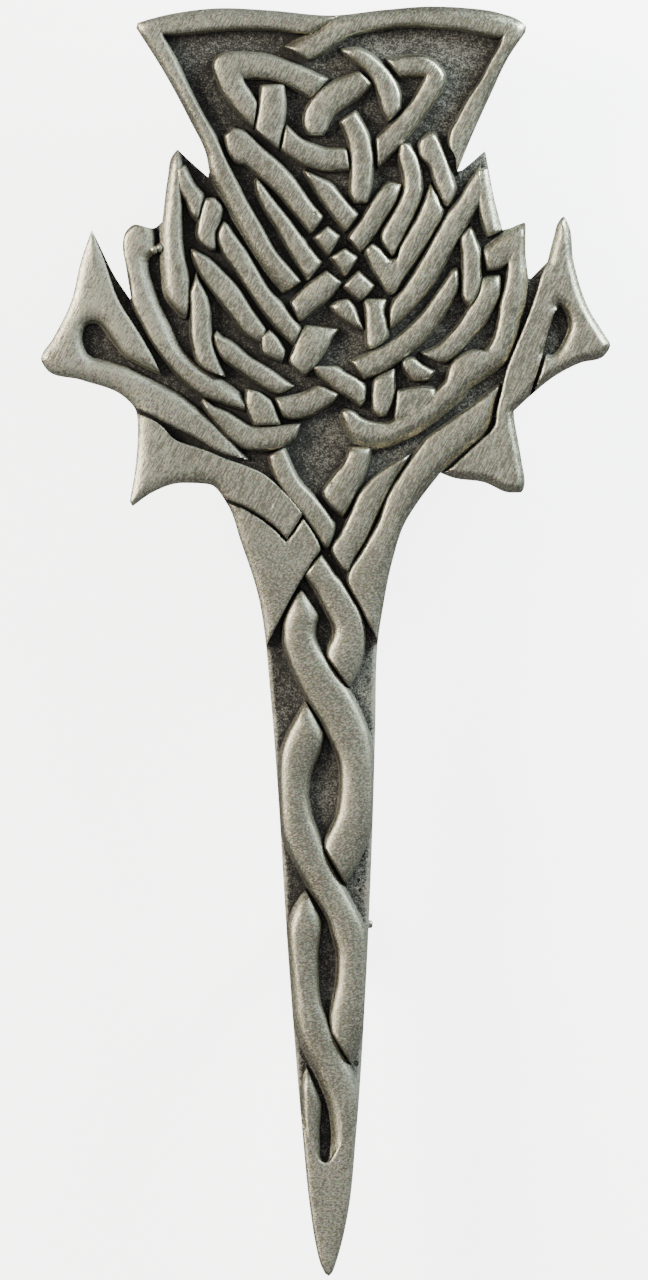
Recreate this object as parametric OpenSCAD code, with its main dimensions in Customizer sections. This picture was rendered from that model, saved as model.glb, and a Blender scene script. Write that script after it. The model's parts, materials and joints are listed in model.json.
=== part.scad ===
// Cast thistle kilt pin lying on its back fitting, face up, with the crown towards +Y.
// The origin is the middle of the footprint, on the surface that the pin lies on.

/* [Size] */
// Length of the whole pin, from the crown's edge to the blade's point
pin_length = 95; // [80:1:110]

/* [Casting] */
// Thickness of the casting at the ground between the ribbons
ground_t = 1.6; // [1.2:0.1:2.4]
// Height of the ribbons above that ground
relief_h = 1.1; // [0.6:0.1:1.4]

/* [Back fitting] */
// Clear depth between the casting's back and the stem, where the cloth lies
cloth_gap = 4.4; // [4.3:0.1:6]
// Thickness of the stem
stem_d = 1.4; // [1.1:0.1:1.8]
// Width of the two feet that the pin lies on
foot_w = 5; // [4:0.5:6]

/* [Hidden] */

// The plan is drawn in its own units, x to the right and y down from the crown to the point.
plan_left = 40.6;
plan_right = 610.5;
plan_top = 6.5;
plan_bottom = 1276.1;
unit = pin_length / (plan_bottom - plan_top);
mid_x = (plan_left + plan_right) / 2;
mid_y = (plan_top + plan_bottom) / 2;

stem_clear = 0.5;
stem_z = stem_clear + stem_d / 2;
back_z = stem_clear + stem_d + cloth_gap;
ground_z = back_z + ground_t;
seat_gap = 0.05;
// How far a ribbon's skirt is sunk into the ground
sink = 0.4;
// Height of a ribbon's shoulder, as a share of its full height
shoulder = 0.72;
// Plan width of the rounding on a ribbon's inner and outer sides and ends
soft = 3;
wide = 8;
// Most of a ribbon's width and of a step along it that a rounding takes
side_most = 0.42;
end_most = 0.45;
// Keeps the corners of the outline off those of the ribbons
nudge = 0.13;
// An outer side stands this far past the outline, which trims it
past = 1.9;

function at(x, y) = [(x - mid_x) * unit, (mid_y - y) * unit];
function mix(a, b, t) = a + (b - a) * t;
function total(list) = list * [for (v = list) 1];
function cross_z(a, b) = a[0] * b[1] - a[1] * b[0];

// Smooth curve through a run of plan points, with steps straight pieces between two of them.
function bend(a, b, c, d, t) =
    0.5 * (
        2 * b + (c - a) * t + (2 * a - 5 * b + 4 * c - d) * t * t + (3 * b - a - 3 * c + d) * t * t * t
    );
function smooth(run, steps) = let (last = len(run) - 1) [
    for (i = [0:last - 1], k = [0:steps - 1])
        bend(run[max(i - 1, 0)], run[i], run[i + 1], run[min(i + 2, last)], k / steps),
    run[last]
];

// Outer edge of the casting, clockwise from the crown's left tip. Each run is smooth and runs meet in
// corners.
// Columns: x, y
crown_edge = [
    [137.5, 22.8], [160, 16.3], [190, 10.7], [225, 8], [270, 10.3], [330, 15.3], [385, 9.7], [431, 6.4],
    [465, 7.8], [498, 12.5], [520, 20.8], [526.3, 26.5]
];
right_rail_edge = [[525.6, 31.5], [510, 54.3], [490, 95.7], [470, 140], [457.3, 171]];
right_spike_left = [[462, 170], [473, 161], [484.3, 151]];
right_spike_right = [[485.8, 152.5], [494.4, 199], [502.5, 229.6]];
right_knob_top = [[510, 228.2], [518, 224.6], [524.3, 222.3]];
right_knob_side = [[525.7, 224], [525.5, 250], [528.3, 277.8]];
right_leaf_inner = [[530.8, 278.4], [540, 269.1], [547.7, 261.4]];
right_leaf_outer = [
    [547.7, 261.4], [554.5, 235], [559, 220.9], [563.6, 216.3], [567.7, 222.7], [573.6, 260.9],
    [589, 309], [604.5, 334.5], [610.4, 345], [605, 355], [580, 362.8], [556, 375.3], [530, 396],
    [513.9, 411]
];
right_point_edge = [
    [514.2, 419], [521.7, 461], [524.8, 482], [521, 492.3], [511, 492.5], [484.4, 482.2],
    [452.2, 477.2], [440.5, 472.6]
];
blade_right = [
    [440.5, 472.6], [419, 500.7], [404, 525], [393.3, 557.8], [383, 608], [377.5, 647], [375.4, 730],
    [372, 845], [365.8, 986.7], [356.3, 1133.3], [348, 1213.3], [340.8, 1246.7], [337.2, 1259],
    [334, 1268.5], [331.6, 1273.5], [328.6, 1276]
];
blade_left = [
    [328.6, 1276], [325.2, 1273.5], [322.3, 1268.5], [319, 1259], [315.8, 1245], [310.3, 1210],
    [302, 1128.3], [288, 953.3], [276.7, 775], [270.8, 700], [256.7, 590], [241, 542.2], [226.7, 503.3],
    [210, 484.5], [182, 482.8], [152, 492.3], [132.3, 506]
];
left_point_edge = [
    [129.8, 501.5], [135.6, 465.6], [137.9, 430], [134.4, 407.8], [123, 396], [82, 380], [46, 368.8],
    [41, 359], [53, 338.5], [71, 302], [81, 261], [91.7, 229.8]
];
left_leaf_inner = [[91.7, 229.8], [97.8, 242], [114.4, 275.6], [130, 299]];
left_knob_edge = [
    [131, 298], [125.6, 264.4], [122.8, 247], [127, 230], [135, 224.4], [152, 228.3], [162.2, 222]
];
left_spike_edge = [[162.2, 222], [167.8, 177], [172, 156], [177.5, 149.3]];
left_spike_right = [[177.5, 149.3], [190, 161], [207.9, 176.9]];
left_rail_edge = [[209.3, 171.4], [205.7, 153], [190, 120], [163, 70], [136.2, 27.5]];
edge_runs = [
    crown_edge, right_rail_edge, right_spike_left, right_spike_right, right_knob_top, right_knob_side,
    right_leaf_inner, right_leaf_outer, right_point_edge, blade_right, blade_left, left_point_edge,
    left_leaf_inner, left_knob_edge, left_spike_edge, left_spike_right, left_rail_edge
];

// Raised ribbons. Each has its rise (share of the relief height), the tuck of its start and end (plan
// length over which it dives under its neighbour, 0 for a cut end), the rounding of its two sides, and
// its stations.
// Station columns: x and y on one side, x and y on the other side
crown = [
    [1, 0, 0, wide, soft, [
        [329, 15.8, 300, 33], [280, 10.8, 273, 29.3], [250, 9.3, 250, 28.6], [210, 8.9, 215, 30],
        [180, 12.6, 187, 33.3], [155, 17.6, 168, 34], [137.6, 23, 163.2, 34.2], [136.4, 27.6, 163, 36],
        [143, 39.5, 167, 44], [155, 58.3, 174, 57], [171, 84, 187, 84], [182, 103.5, 201, 111],
        [200, 140, 218.6, 143], [206, 154.5, 225, 158], [209.5, 172, 234, 177], [222, 197, 244, 197],
        [240, 230, 261, 226.5], [257, 258, 276, 253], [271, 277, 289, 268], [284.4, 291.7, 300, 281]
    ]],
    [1.02, 0, 0, wide, soft, [
        [285.5, 48, 309, 59.5], [300, 38.5, 323, 53], [316, 30, 336, 44], [333, 17, 351, 35],
        [350, 13.8, 365, 31.5], [370, 11.5, 380, 28.5], [390, 9.5, 395, 26.5], [415, 7.6, 415, 25.8],
        [440, 6.9, 437, 27.2], [465, 8, 458, 29], [490, 11.4, 480, 33.5], [505, 15.6, 497, 37.6],
        [525, 26, 503.8, 37], [524.5, 32, 503.5, 41], [513, 50, 493.5, 61.5], [503, 69, 484.5, 79],
        [490, 95.7, 470, 98.5], [480, 117, 459, 119], [471, 138, 451, 133.5], [463, 155.5, 449, 145],
        [458.6, 167.5, 455.5, 158], [457.3, 170.8, 456.5, 169]
    ]]
];
knot = [
    [0.97, 6, 0, soft, soft, [
        [328, 79.5, 312, 98.6], [314, 73, 300, 91.5], [296, 64.5, 285.7, 84], [273, 56.4, 268, 79],
        [252, 53.2, 253, 78], [232, 52.4, 244, 78], [217, 57, 243.5, 78.6], [213.5, 66, 243.3, 79.8],
        [216.5, 77, 245, 84.5], [223, 92, 249.5, 91], [238, 112, 253.7, 97], [253, 127, 257, 102]
    ]],
    [1.03, 0, 0, soft, soft, [
        [261.5, 86, 284, 85], [259.8, 100, 285, 101], [258, 114, 284.3, 115], [255.8, 126, 281.5, 134],
        [256, 130, 278.5, 148.5]
    ]],
    [0.97, 0, 0, soft, soft, [
        [286.5, 126, 281.5, 150], [301, 138.6, 294, 158.6], [315.7, 145.7, 307.5, 165.7],
        [330, 149.3, 327, 170.5], [341, 149, 343, 170], [346, 149, 349, 169.5]
    ]],
    [0.98, 0, 7, soft, soft, [
        [370, 84.5, 359, 73], [357, 98, 343, 78], [346, 106, 329, 84], [336, 113, 315, 96],
        [330.5, 119, 306.5, 109], [327, 126, 303.8, 121], [323.5, 136, 309, 134.5]
    ]],
    [1.03, 9, 0, soft, soft, [
        [341, 49.3, 345, 55.5], [354, 48, 354, 60.5], [367, 52, 363, 67.5], [381, 63, 371, 77],
        [391, 74, 376, 88], [398, 87, 380, 100], [400.6, 98, 383.5, 111.5], [400.2, 108, 389, 120]
    ]],
    [0.98, 0, 0, soft, soft, [
        [392, 60, 401.5, 76], [405, 56.6, 409, 75.8], [419, 55.6, 420, 75.5], [434, 61.4, 425.3, 75.6],
        [444.5, 76, 425.3, 77.4], [442.5, 87, 420.5, 87], [434, 101, 412.5, 101],
        [422.5, 117.5, 402, 113.5], [408, 136, 390, 125.5], [394, 151, 381.5, 133.5],
        [378.5, 166, 376.5, 137.5]
    ]],
    [1.03, 4, 0, soft, soft, [
        [340.5, 119.5, 357, 110.5], [345.5, 133, 366.5, 130.5], [349.5, 147, 371.5, 148],
        [351.3, 162, 373, 161], [351, 178, 371.8, 175], [350.3, 193, 370.5, 189],
        [355, 202.5, 366.5, 202]
    ]]
];
weave_top = [
    [1, 0, 0, soft, soft, [
        [235, 128.8, 224.5, 136], [243, 131, 227.5, 150], [251, 137, 236, 162], [263, 149, 246, 165],
        [279, 163, 261, 178], [296.5, 182.5, 279.5, 195.5], [311, 203, 295, 214],
        [322.5, 216.5, 310.5, 232.5]
    ]],
    [0.97, 5, 0, soft, soft, [
        [257, 177.5, 254.5, 180], [264, 187, 257.5, 194], [275, 202, 264, 208.5],
        [289, 219.5, 278, 230], [304, 240.5, 290, 252], [320.6, 262, 307.5, 279.5]
    ]],
    [0.97, 6, 0, soft, soft, [
        [305, 170, 303, 171], [318, 177, 309.5, 181], [328.5, 182, 316, 191.5],
        [341, 195.5, 329.5, 211.5], [357.5, 214.5, 345, 230.5]
    ]],
    [1.02, 0, 0, soft, soft, [[327.8, 227.2, 314.4, 238.3], [338.9, 236, 327.8, 255]]],
    [1.02, 0, 0, soft, soft, [[345.6, 249, 331, 258], [357, 257.5, 344.5, 275.5]]],
    [1.03, 0, 0, soft, soft, [
        [401, 181, 380.5, 179], [393, 205, 372, 202], [383, 220.5, 362, 219], [372, 237.5, 352, 232],
        [361, 251, 349, 238]
    ]],
    [1, 0, 0, soft, soft, [
        [409.5, 144.4, 400, 144.6], [416.5, 156, 399, 157], [421, 173, 403, 174],
        [422, 188, 404.3, 187], [418, 203.5, 400, 201], [408.5, 224, 389.5, 219.5],
        [397, 247.5, 381.3, 238.5], [393, 256, 391, 255]
    ]],
    [0.98, 5, 0, soft, soft, [
        [434.5, 132.2, 428, 132.5], [440.5, 145, 419, 144], [445.5, 157, 420.5, 156],
        [449.5, 168.5, 430, 166.5], [453, 180, 434.5, 181], [455.3, 190, 440, 194],
        [448.5, 205, 445, 205.5]
    ]],
    [1, 0, 0, soft, soft, [
        [365, 251, 373, 244.5], [370.5, 265.5, 380, 249], [379, 279, 385.5, 255.5],
        [389.3, 294, 391.3, 260.3], [391, 294, 393.3, 260], [404, 276.5, 400.5, 246.5],
        [422, 250, 410.5, 229.5], [432, 233, 416, 220], [442.5, 210, 424, 203],
        [437.5, 196, 427.5, 193], [431.5, 184.5, 430.5, 184]
    ]],
    [1.03, 4, 0, soft, soft, [
        [483, 186, 480.5, 167], [480.5, 201.5, 470.5, 181], [473, 214, 461, 197],
        [464.5, 228, 450, 211], [454, 246.5, 439.5, 229], [443.5, 265, 427.5, 250.5],
        [431.5, 285.5, 415, 271.5], [419.5, 300, 404, 288.5], [405.5, 314.5, 393.5, 301.5],
        [395, 324, 390, 312], [390.5, 328.5, 389.8, 327]
    ]],
    [1, 0, 0, wide, soft, [
        [485.8, 153, 484.5, 152.5], [489.5, 172, 481, 170], [492.8, 189, 482, 188],
        [495.3, 204, 480.8, 205], [498.3, 219, 483, 221], [500, 230.5, 488, 235.5]
    ]],
    [1, 4, 0, soft, soft, [
        [471.5, 227, 470, 226.5], [476.5, 241, 460.5, 240], [480.2, 254, 462.5, 255],
        [480.6, 270, 462.7, 272], [479.8, 288, 462.3, 290], [474, 301, 464.5, 301],
        [470, 306, 468.5, 306]
    ]]
];
knobs = [
    [1, 0, 0, wide, soft, [
        [484, 249, 487.9, 270], [497, 238.5, 499, 268.5], [511, 228.8, 507.5, 263.5],
        [524.5, 223.5, 507.8, 264], [525.5, 237, 507.9, 265], [525.6, 255, 507.6, 270],
        [526.8, 272, 506.7, 279], [525.6, 286, 505, 288], [523.5, 306, 500.5, 304],
        [519, 321, 498.5, 320], [516.5, 336, 494.5, 337], [511, 351, 489, 347.5],
        [507.5, 359, 485.5, 351], [498, 367, 476, 350], [489, 373.5, 460, 356], [480, 380, 451, 365],
        [469, 387, 446.8, 379], [460, 399, 440, 388], [449, 408.5, 430, 398], [436, 419.5, 420, 408],
        [421, 430, 408, 413.8], [404, 438.5, 397, 418.5], [388, 445, 386, 424], [371, 447, 370, 421.5],
        [356, 443, 360, 417.5], [346, 430, 353.5, 412], [340.5, 415, 344.8, 409.5]
    ]],
    [0.96, 0, 5, soft, soft, [
        [398, 391, 394.5, 412], [408, 389, 404, 412], [422, 387.2, 416, 411], [436, 389, 430, 402]
    ]],
    [1, 0, 0, wide, soft, [
        [152, 229.5, 134, 224.6], [153.8, 241, 126.3, 232], [152.8, 252.5, 123.2, 243],
        [146, 259.5, 123.4, 254], [146.5, 270, 126.5, 268], [151.5, 286, 130.2, 285],
        [158, 303.5, 132.5, 303], [167, 323, 141.5, 322], [177, 345, 154, 345],
        [188.5, 358.5, 168, 363.5], [205, 370.5, 186.7, 383.3], [224, 382.5, 207, 397],
        [236, 391.5, 226, 404], [244, 399.8, 245, 410]
    ]]
];
weave_left = [
    [1, 0, 6, soft, wide, [
        [179, 150, 175.5, 150], [181, 168, 169.5, 168], [181, 190, 165.8, 192],
        [181.5, 210, 163.5, 212], [181, 232, 161.3, 235], [182.8, 252, 161.7, 252],
        [187.5, 272, 163, 273], [189, 296, 166.7, 297.8], [188, 310, 176, 310],
        [186.7, 318, 184.5, 318.5]
    ]],
    [1, 0, 0, soft, soft, [
        [181, 153, 178.5, 152], [185.5, 172, 180.3, 171], [194, 184.5, 180.5, 187],
        [203, 196.5, 186, 201.5], [200.5, 210, 193, 216.7], [198.8, 218, 196.5, 220]
    ]],
    [1, 0, 0, soft, soft, [
        [215, 198.5, 205, 199.5], [222.3, 208.5, 202, 208], [219.5, 221, 199, 220],
        [215.3, 235, 197, 234], [215.5, 245, 201.5, 243.5], [214.5, 250, 210, 250]
    ]],
    [1, 0, 0, soft, soft, [
        [226.5, 223, 222.5, 222.5], [234, 234.5, 217.8, 236], [245, 249.5, 222, 251],
        [256, 268, 233, 267], [268, 288.5, 247, 288], [282, 304.5, 263, 311.5],
        [292.5, 318, 277, 328.5], [300.3, 328.5, 293, 344.3]
    ]],
    [0.98, 5, 0, soft, soft, [
        [191.5, 248.3, 190.5, 250], [208, 258, 195.5, 264.5], [222, 271, 204, 280],
        [237, 286.5, 217.5, 298], [250, 307, 233.5, 318], [258, 318.5, 246, 334],
        [265.5, 329, 260, 342.5]
    ]],
    [1, 0, 0, soft, soft, [[270, 330.5, 261, 338], [277, 337.5, 262, 351.5], [284.5, 350, 281.5, 361]]],
    [1.02, 8, 0, soft, soft, [
        [200, 284, 192.5, 286], [206, 294.5, 190, 295], [209.3, 308, 191, 310], [210.3, 328, 191, 330],
        [213.5, 347.5, 193.5, 348], [219, 363.5, 199, 364.5], [223.5, 373.5, 211, 372.5],
        [224.5, 376.3, 221, 376]
    ]],
    [0.97, 0, 6, soft, soft, [
        [216.5, 332, 213.5, 337], [221, 336.7, 216, 347], [230, 341, 221, 356.5],
        [247, 355.5, 237, 369], [266, 367, 255, 381.5], [280, 377, 270, 390.5], [293.3, 386.7, 280, 394]
    ]],
    [1.02, 0, 0, soft, soft, [
        [261, 393, 246.7, 389.8], [270.5, 401, 245.8, 402], [276.5, 413, 248.9, 413.3],
        [280, 424, 254, 425]
    ]],
    [1, 8, 0, soft, soft, [
        [204, 398, 201, 401.5], [212, 405.5, 207.8, 413.3], [226, 411.5, 217.5, 425.5],
        [240, 420.5, 231, 439], [254.4, 427, 247.8, 449], [270, 426.8, 266, 450],
        [285, 425.7, 283, 446.8], [299, 424.5, 294, 438.5]
    ]]
];
weave_mid = [
    [1.02, 0, 0, soft, soft, [
        [340.5, 283, 326, 271.5], [328, 298.5, 308, 284.5], [300, 320.8, 291, 302]
    ]],
    [1.02, 0, 0, soft, soft, [[358.5, 271.5, 343.5, 287], [374, 285.5, 360, 300.5]]],
    [0.97, 6, 0, soft, soft, [
        [336, 301, 329.5, 306], [347.5, 299.5, 337, 314.5], [354, 307, 345, 320.5],
        [359, 319, 353.5, 326], [364, 329.5, 361, 329]
    ]],
    [1, 10, 0, soft, soft, [
        [386, 299, 364, 299], [383.5, 311, 365.6, 310], [386.5, 322, 366, 322],
        [387.5, 333, 366.3, 334], [382, 343.5, 367.2, 346], [376, 347.5, 369, 348.5]
    ]],
    [0.98, 10, 0, soft, soft, [
        [341, 326, 304, 324.5], [331, 338, 298.8, 336], [324, 351.5, 293.5, 350],
        [313, 367, 289.5, 361], [306, 374.5, 302, 374]
    ]],
    [1, 6, 0, soft, soft, [
        [458, 268, 455, 267.5], [458, 284, 448, 277], [452.5, 299, 437, 293], [440, 319.5, 424, 311.5],
        [424.5, 340, 408, 328], [405, 356.5, 391, 342], [384, 370.5, 370, 352.5], [365, 378.5, 352, 361]
    ]],
    [0.98, 10, 0, soft, soft, [
        [500, 275, 483, 277], [499.5, 292, 477.5, 296], [492, 310.5, 468.5, 309],
        [482, 326.5, 459.5, 323.5], [468, 341.5, 447.5, 337], [454, 356, 438, 345.5],
        [442, 362.3, 430, 349.5], [430, 358.5, 422, 352.5]
    ]],
    [0.98, 4, 0, soft, soft, [
        [402, 359, 401, 364], [411, 358, 406, 373], [423, 365, 417, 380.5], [433.5, 371, 428, 379.5]
    ]],
    [0.97, 8, 0, soft, soft, [
        [394.5, 368, 375, 377], [394.4, 380, 373.3, 385], [393.5, 394, 372.2, 398],
        [390, 407, 374, 412.5], [386, 414.8, 379, 416]
    ]],
    [1, 0, 0, soft, soft, [
        [322, 366.3, 313.5, 367.5], [334, 366.5, 317, 373.5], [345, 372.5, 326, 381.5],
        [358, 379.5, 338, 391.5], [365.5, 388.5, 350, 398], [365, 398, 360.5, 405.5]
    ]],
    [1, 0, 0, soft, soft, [
        [276, 398.8, 284, 417], [290, 396.7, 293, 418.5], [305.6, 392.5, 309, 415.5],
        [319, 386.5, 322, 408.5], [333, 391.5, 332.5, 401.8], [338.5, 393.5, 337.5, 396.5]
    ]],
    [1, 0, 0, soft, soft, [
        [284, 448.5, 269, 457], [290.5, 464, 272.5, 471], [299.5, 481, 281.5, 488],
        [314, 496.5, 294, 504.5], [329, 515.5, 307.5, 520.5], [334.5, 527.5, 318.5, 537],
        [328.3, 547, 324.7, 547.3]
    ]],
    [1, 6, 0, soft, soft, [
        [370.5, 447, 350.5, 447], [367.5, 462, 345, 462], [362, 480, 334.5, 475],
        [355.5, 492, 323.5, 493.5], [349, 505, 331.5, 506.5], [343, 516, 341, 515.5]
    ]],
    [0.98, 8, 0, soft, soft, [
        [410, 454.5, 404, 457], [403, 465.5, 391, 464.5], [394.5, 478, 375, 476.5],
        [384.5, 497.5, 361, 491.5], [374.5, 518, 351.5, 511.5], [363.5, 542, 341.5, 533],
        [353, 558.5, 332, 549.5], [348, 571, 341.5, 567.5]
    ]]
];
leaves = [
    [0.95, 0, 0, soft, wide, [
        [92.9, 234, 90.3, 233.6], [95.5, 254, 84.2, 247], [104, 283, 77.5, 277], [98, 307, 70.5, 302],
        [90, 322, 63, 319], [80.5, 333, 54, 337], [79.4, 341.2, 45, 350.3], [85.3, 350.4, 43, 364.6]
    ]],
    [1, 0, 0, soft, soft, [
        [94.5, 236, 92, 240], [103, 257, 92, 275], [120, 304, 92, 305], [133, 323.5, 101, 325],
        [144, 341, 112, 340.5], [153, 359, 124, 358], [158, 373, 138, 372]
    ]],
    [1, 0, 0, soft, wide, [
        [68.7, 341.6, 42.4, 362.7], [83.6, 348.2, 60, 371.5], [100, 360, 92, 383.5],
        [120, 371.5, 117, 393.5], [138, 381, 134, 406], [158, 389, 147, 411.5], [177, 397, 166, 420.3],
        [195, 413.5, 183, 432.5], [212, 428, 201, 440.5], [228, 441.5, 219, 448.7],
        [238, 450, 231, 450.8]
    ]],
    [0.95, 0, 0, soft, wide, [
        [139.5, 418.5, 138, 421], [150, 424, 138, 438], [160, 431.5, 136, 463], [165, 437.5, 131, 500],
        [170, 443, 134.5, 504.5], [180, 448.5, 149, 494], [195, 454, 170, 485.8],
        [212, 459.5, 194, 482.3], [228, 467.5, 213, 486.5], [246, 476, 226, 498],
        [263, 483.5, 245, 507.8], [279, 496, 262, 518], [293, 508.7, 276, 528], [299.3, 518, 286.7, 539]
    ]],
    [0.95, 0, 0, wide, soft, [
        [565.2, 219.3, 561.7, 219.1], [569, 231, 555.3, 231], [571.5, 250.5, 551, 251],
        [575.6, 270, 545.5, 267], [580, 287, 540.3, 284.4], [587.4, 304.6, 534.2, 303.3]
    ]],
    [1, 0, 0, soft, soft, [
        [567, 286, 541, 278], [560, 299, 536.5, 294], [556, 311, 530.5, 309.5],
        [551, 326.5, 524, 326.5], [542, 349, 517.3, 348], [535.5, 373, 509, 369],
        [529, 396, 502, 391.5], [514, 411.5, 496.7, 410], [515, 426, 491, 429]
    ]],
    [0.95, 0, 0, wide, soft, [
        [582.6, 295.8, 558.6, 296.3], [593.3, 317, 566.5, 316], [602, 331, 567.8, 328],
        [610, 346, 563.5, 340], [609, 353.8, 558, 350], [597, 356.5, 554, 356], [572, 366.5, 547, 358],
        [557, 375, 541, 363], [545.5, 383.5, 536, 376], [534, 392.5, 532.5, 390]
    ]],
    [1, 5, 0, wide, soft, [
        [500.5, 388, 499.5, 385], [494, 403, 487.5, 393.5], [490, 421, 474, 405],
        [482, 435.5, 458, 416], [468, 447.5, 442, 427.5], [453, 461, 428, 437.5], [441, 472, 416, 453],
        [428, 486.5, 401, 475], [411, 513, 388, 496.5], [400, 537, 378.5, 523], [392, 562, 363.5, 551],
        [385.5, 596, 349.5, 579.5], [381, 616, 361.5, 604], [379, 630, 371, 623],
        [377.8, 640, 377, 633.5]
    ]],
    [0.95, 0, 0, wide, soft, [
        [515.6, 428.3, 490.3, 433.4], [519.3, 450, 486.6, 437], [524.5, 477, 480, 441.5],
        [522, 491, 472, 448.5], [500, 489, 465, 455], [477, 480.3, 457, 462], [448, 476.3, 447.5, 471]
    ]],
    [0.92, 5, 0, soft, wide, [
        [243, 512, 230, 510], [258, 521, 234, 519], [279, 536, 239.5, 536.5], [286.7, 542, 243.3, 548],
        [318, 549, 248, 560], [303, 573.5, 252.5, 575], [292.5, 591, 257, 591],
        [283, 608.5, 260.2, 608.5], [274.5, 624.5, 262.7, 624.5], [267.5, 639.5, 265, 640]
    ]],
    [0.92, 5, 0, soft, soft, [[305.5, 525.5, 300, 525], [312, 535, 291, 537], [318.5, 549, 285, 545]]]
];
twist = [
    [0.98, 0, 0, soft, soft, [
        [320.5, 557.5, 317.5, 557.5], [333, 571, 305.5, 576], [345, 586, 313.3, 587.8],
        [355, 604, 322, 602.5], [362.5, 621, 331, 618.5], [364.7, 633, 333.9, 631],
        [363.8, 647, 331.5, 643], [359.5, 662, 327.5, 653], [354, 675.5, 340, 671.7],
        [350.5, 683, 349.5, 682.5]
    ]],
    [1.03, 0, 0, soft, wide, [
        [302, 590.5, 300.5, 590.5], [313.5, 606, 289.5, 606], [317.8, 620, 284, 620],
        [314.5, 634, 283, 632], [318, 647, 284, 647], [330.5, 664, 289.2, 665], [345.5, 688, 300, 688],
        [358.5, 714, 318, 712], [369, 736.5, 332, 736], [373, 757, 338.5, 757], [373, 780, 340.8, 780],
        [371.5, 806, 339, 806], [367, 833, 330, 829], [362, 847, 325.5, 840],
        [354.5, 863.5, 333.3, 861.7], [347, 881, 345.5, 881]
    ]],
    [1.03, 0, 0, soft, wide, [
        [307.5, 701.5, 306.5, 700.5], [320.5, 718, 295, 718.5], [324.5, 734, 287, 734],
        [315.5, 753, 281, 752], [309, 774, 278.3, 773], [307.5, 796, 279.3, 796],
        [310, 817, 281.5, 817], [317, 838, 285, 838], [328.5, 862, 293, 862], [340.5, 885, 305, 885],
        [354, 907.5, 319, 907.5], [364, 932, 331, 931], [367, 955, 337, 952], [366, 975, 338.2, 970],
        [365.3, 995, 335.8, 990], [364, 1012, 331.8, 1007], [361.5, 1031, 334, 1027],
        [355.5, 1048, 341, 1047], [350, 1062, 348.5, 1061]
    ]],
    [1.03, 0, 0, soft, wide, [
        [308, 891, 307, 890.5], [318.5, 908.5, 296, 908], [321.5, 922, 291, 925],
        [318.5, 945, 290, 945], [316.7, 968, 291, 968], [319.5, 993, 294, 993],
        [327.5, 1022, 299, 1022], [341, 1051, 308, 1052], [353, 1078, 319, 1080],
        [358, 1100, 328.5, 1102], [356.8, 1125, 332.5, 1125], [355.6, 1140, 333.3, 1140],
        [354.2, 1156, 331.3, 1154], [353, 1170, 326, 1166]
    ]],
    [1, 0, 0, soft, wide, [
        [308.8, 1071, 307.5, 1070.5], [312.5, 1085, 301.5, 1086], [319.3, 1104, 300.5, 1104],
        [319.5, 1121, 301.6, 1120], [317.5, 1137, 303, 1137], [318.5, 1153, 304.2, 1153],
        [324, 1168, 305.5, 1168]
    ]],
    [1, 0, 0, wide, wide, [
        [353.8, 1161, 305, 1161], [351.8, 1183, 307, 1183], [348.3, 1210, 310.5, 1210],
        [345.2, 1228, 313.3, 1228], [341, 1246, 316, 1246], [337, 1259, 319.2, 1259],
        [333.5, 1268.5, 322.8, 1268.5], [331, 1273, 325.8, 1273]
    ]]
];

// Crest lines on the leaves, where two slopes meet in a rounded ridge.
// Columns: x, y
crests = [
    [[562.5, 232], [570, 268], [583, 309], [600, 343]],
    [[92.5, 237], [99, 262], [114, 294], [135, 330]],
    [[513, 428], [516.5, 450], [519.5, 468]]
];
crest_r = 0.16;
// Height of a crest's middle, as a share of the relief
crest_seat = 0.95;
// Height of the block that the outline cuts, as a share of the relief
head_room = 1.3;

// Points of one cross-section of a ribbon: foot, shoulder and top on each side.
function section(s, side_a, side_b, rise, share) =
    let (
        edge_a = at(s[0], s[1]),
        edge_b = at(s[2], s[3]),
        across = (edge_b - edge_a) / max(norm(edge_b - edge_a), 0.001),
        a = edge_a - across * (side_a == wide ? past * unit : 0),
        b = edge_b + across * (side_b == wide ? past * unit : 0),
        span = norm(b - a),
        wa = min(side_a * unit, span * side_most) / max(span, 0.001),
        wb = min(side_b * unit, span * side_most) / max(span, 0.001),
        foot = ground_z - sink,
        low = ground_z + relief_h * rise * shoulder * share,
        high = ground_z + relief_h * rise * share
    ) [
        [a[0], a[1], foot], [a[0], a[1], low], [mix(a[0], b[0], wa), mix(a[1], b[1], wa), high],
        [mix(b[0], a[0], wb), mix(b[1], a[1], wb), high], [b[0], b[1], low], [b[0], b[1], foot]
    ];

// The end face of a ribbon, at shoulder height all the way across.
function end_section(s, side_a, side_b, rise, share) =
    let (full = section(s, side_a, side_b, rise, share)) [
        full[0], full[1], [full[2][0], full[2][1], full[1][2]],
        [full[3][0], full[3][1], full[1][2]], full[4], full[5]
    ];

function mid_gap(s, t) = norm(at(s[0] + s[2], s[1] + s[3]) / 2 - at(t[0] + t[2], t[1] + t[3]) / 2);

// Signed area between two stations, which tells on which hand the first side is.
function strip_area(s, t) =
    let (a = at(s[0], s[1]), b = at(s[2], s[3]), c = at(t[2], t[3]), d = at(t[0], t[1]))
    cross_z(a, b) + cross_z(b, c) + cross_z(c, d) + cross_z(d, a);

// A ribbon's end dives to this share of its height where it is tucked under.
tucked = 0.35;

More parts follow.
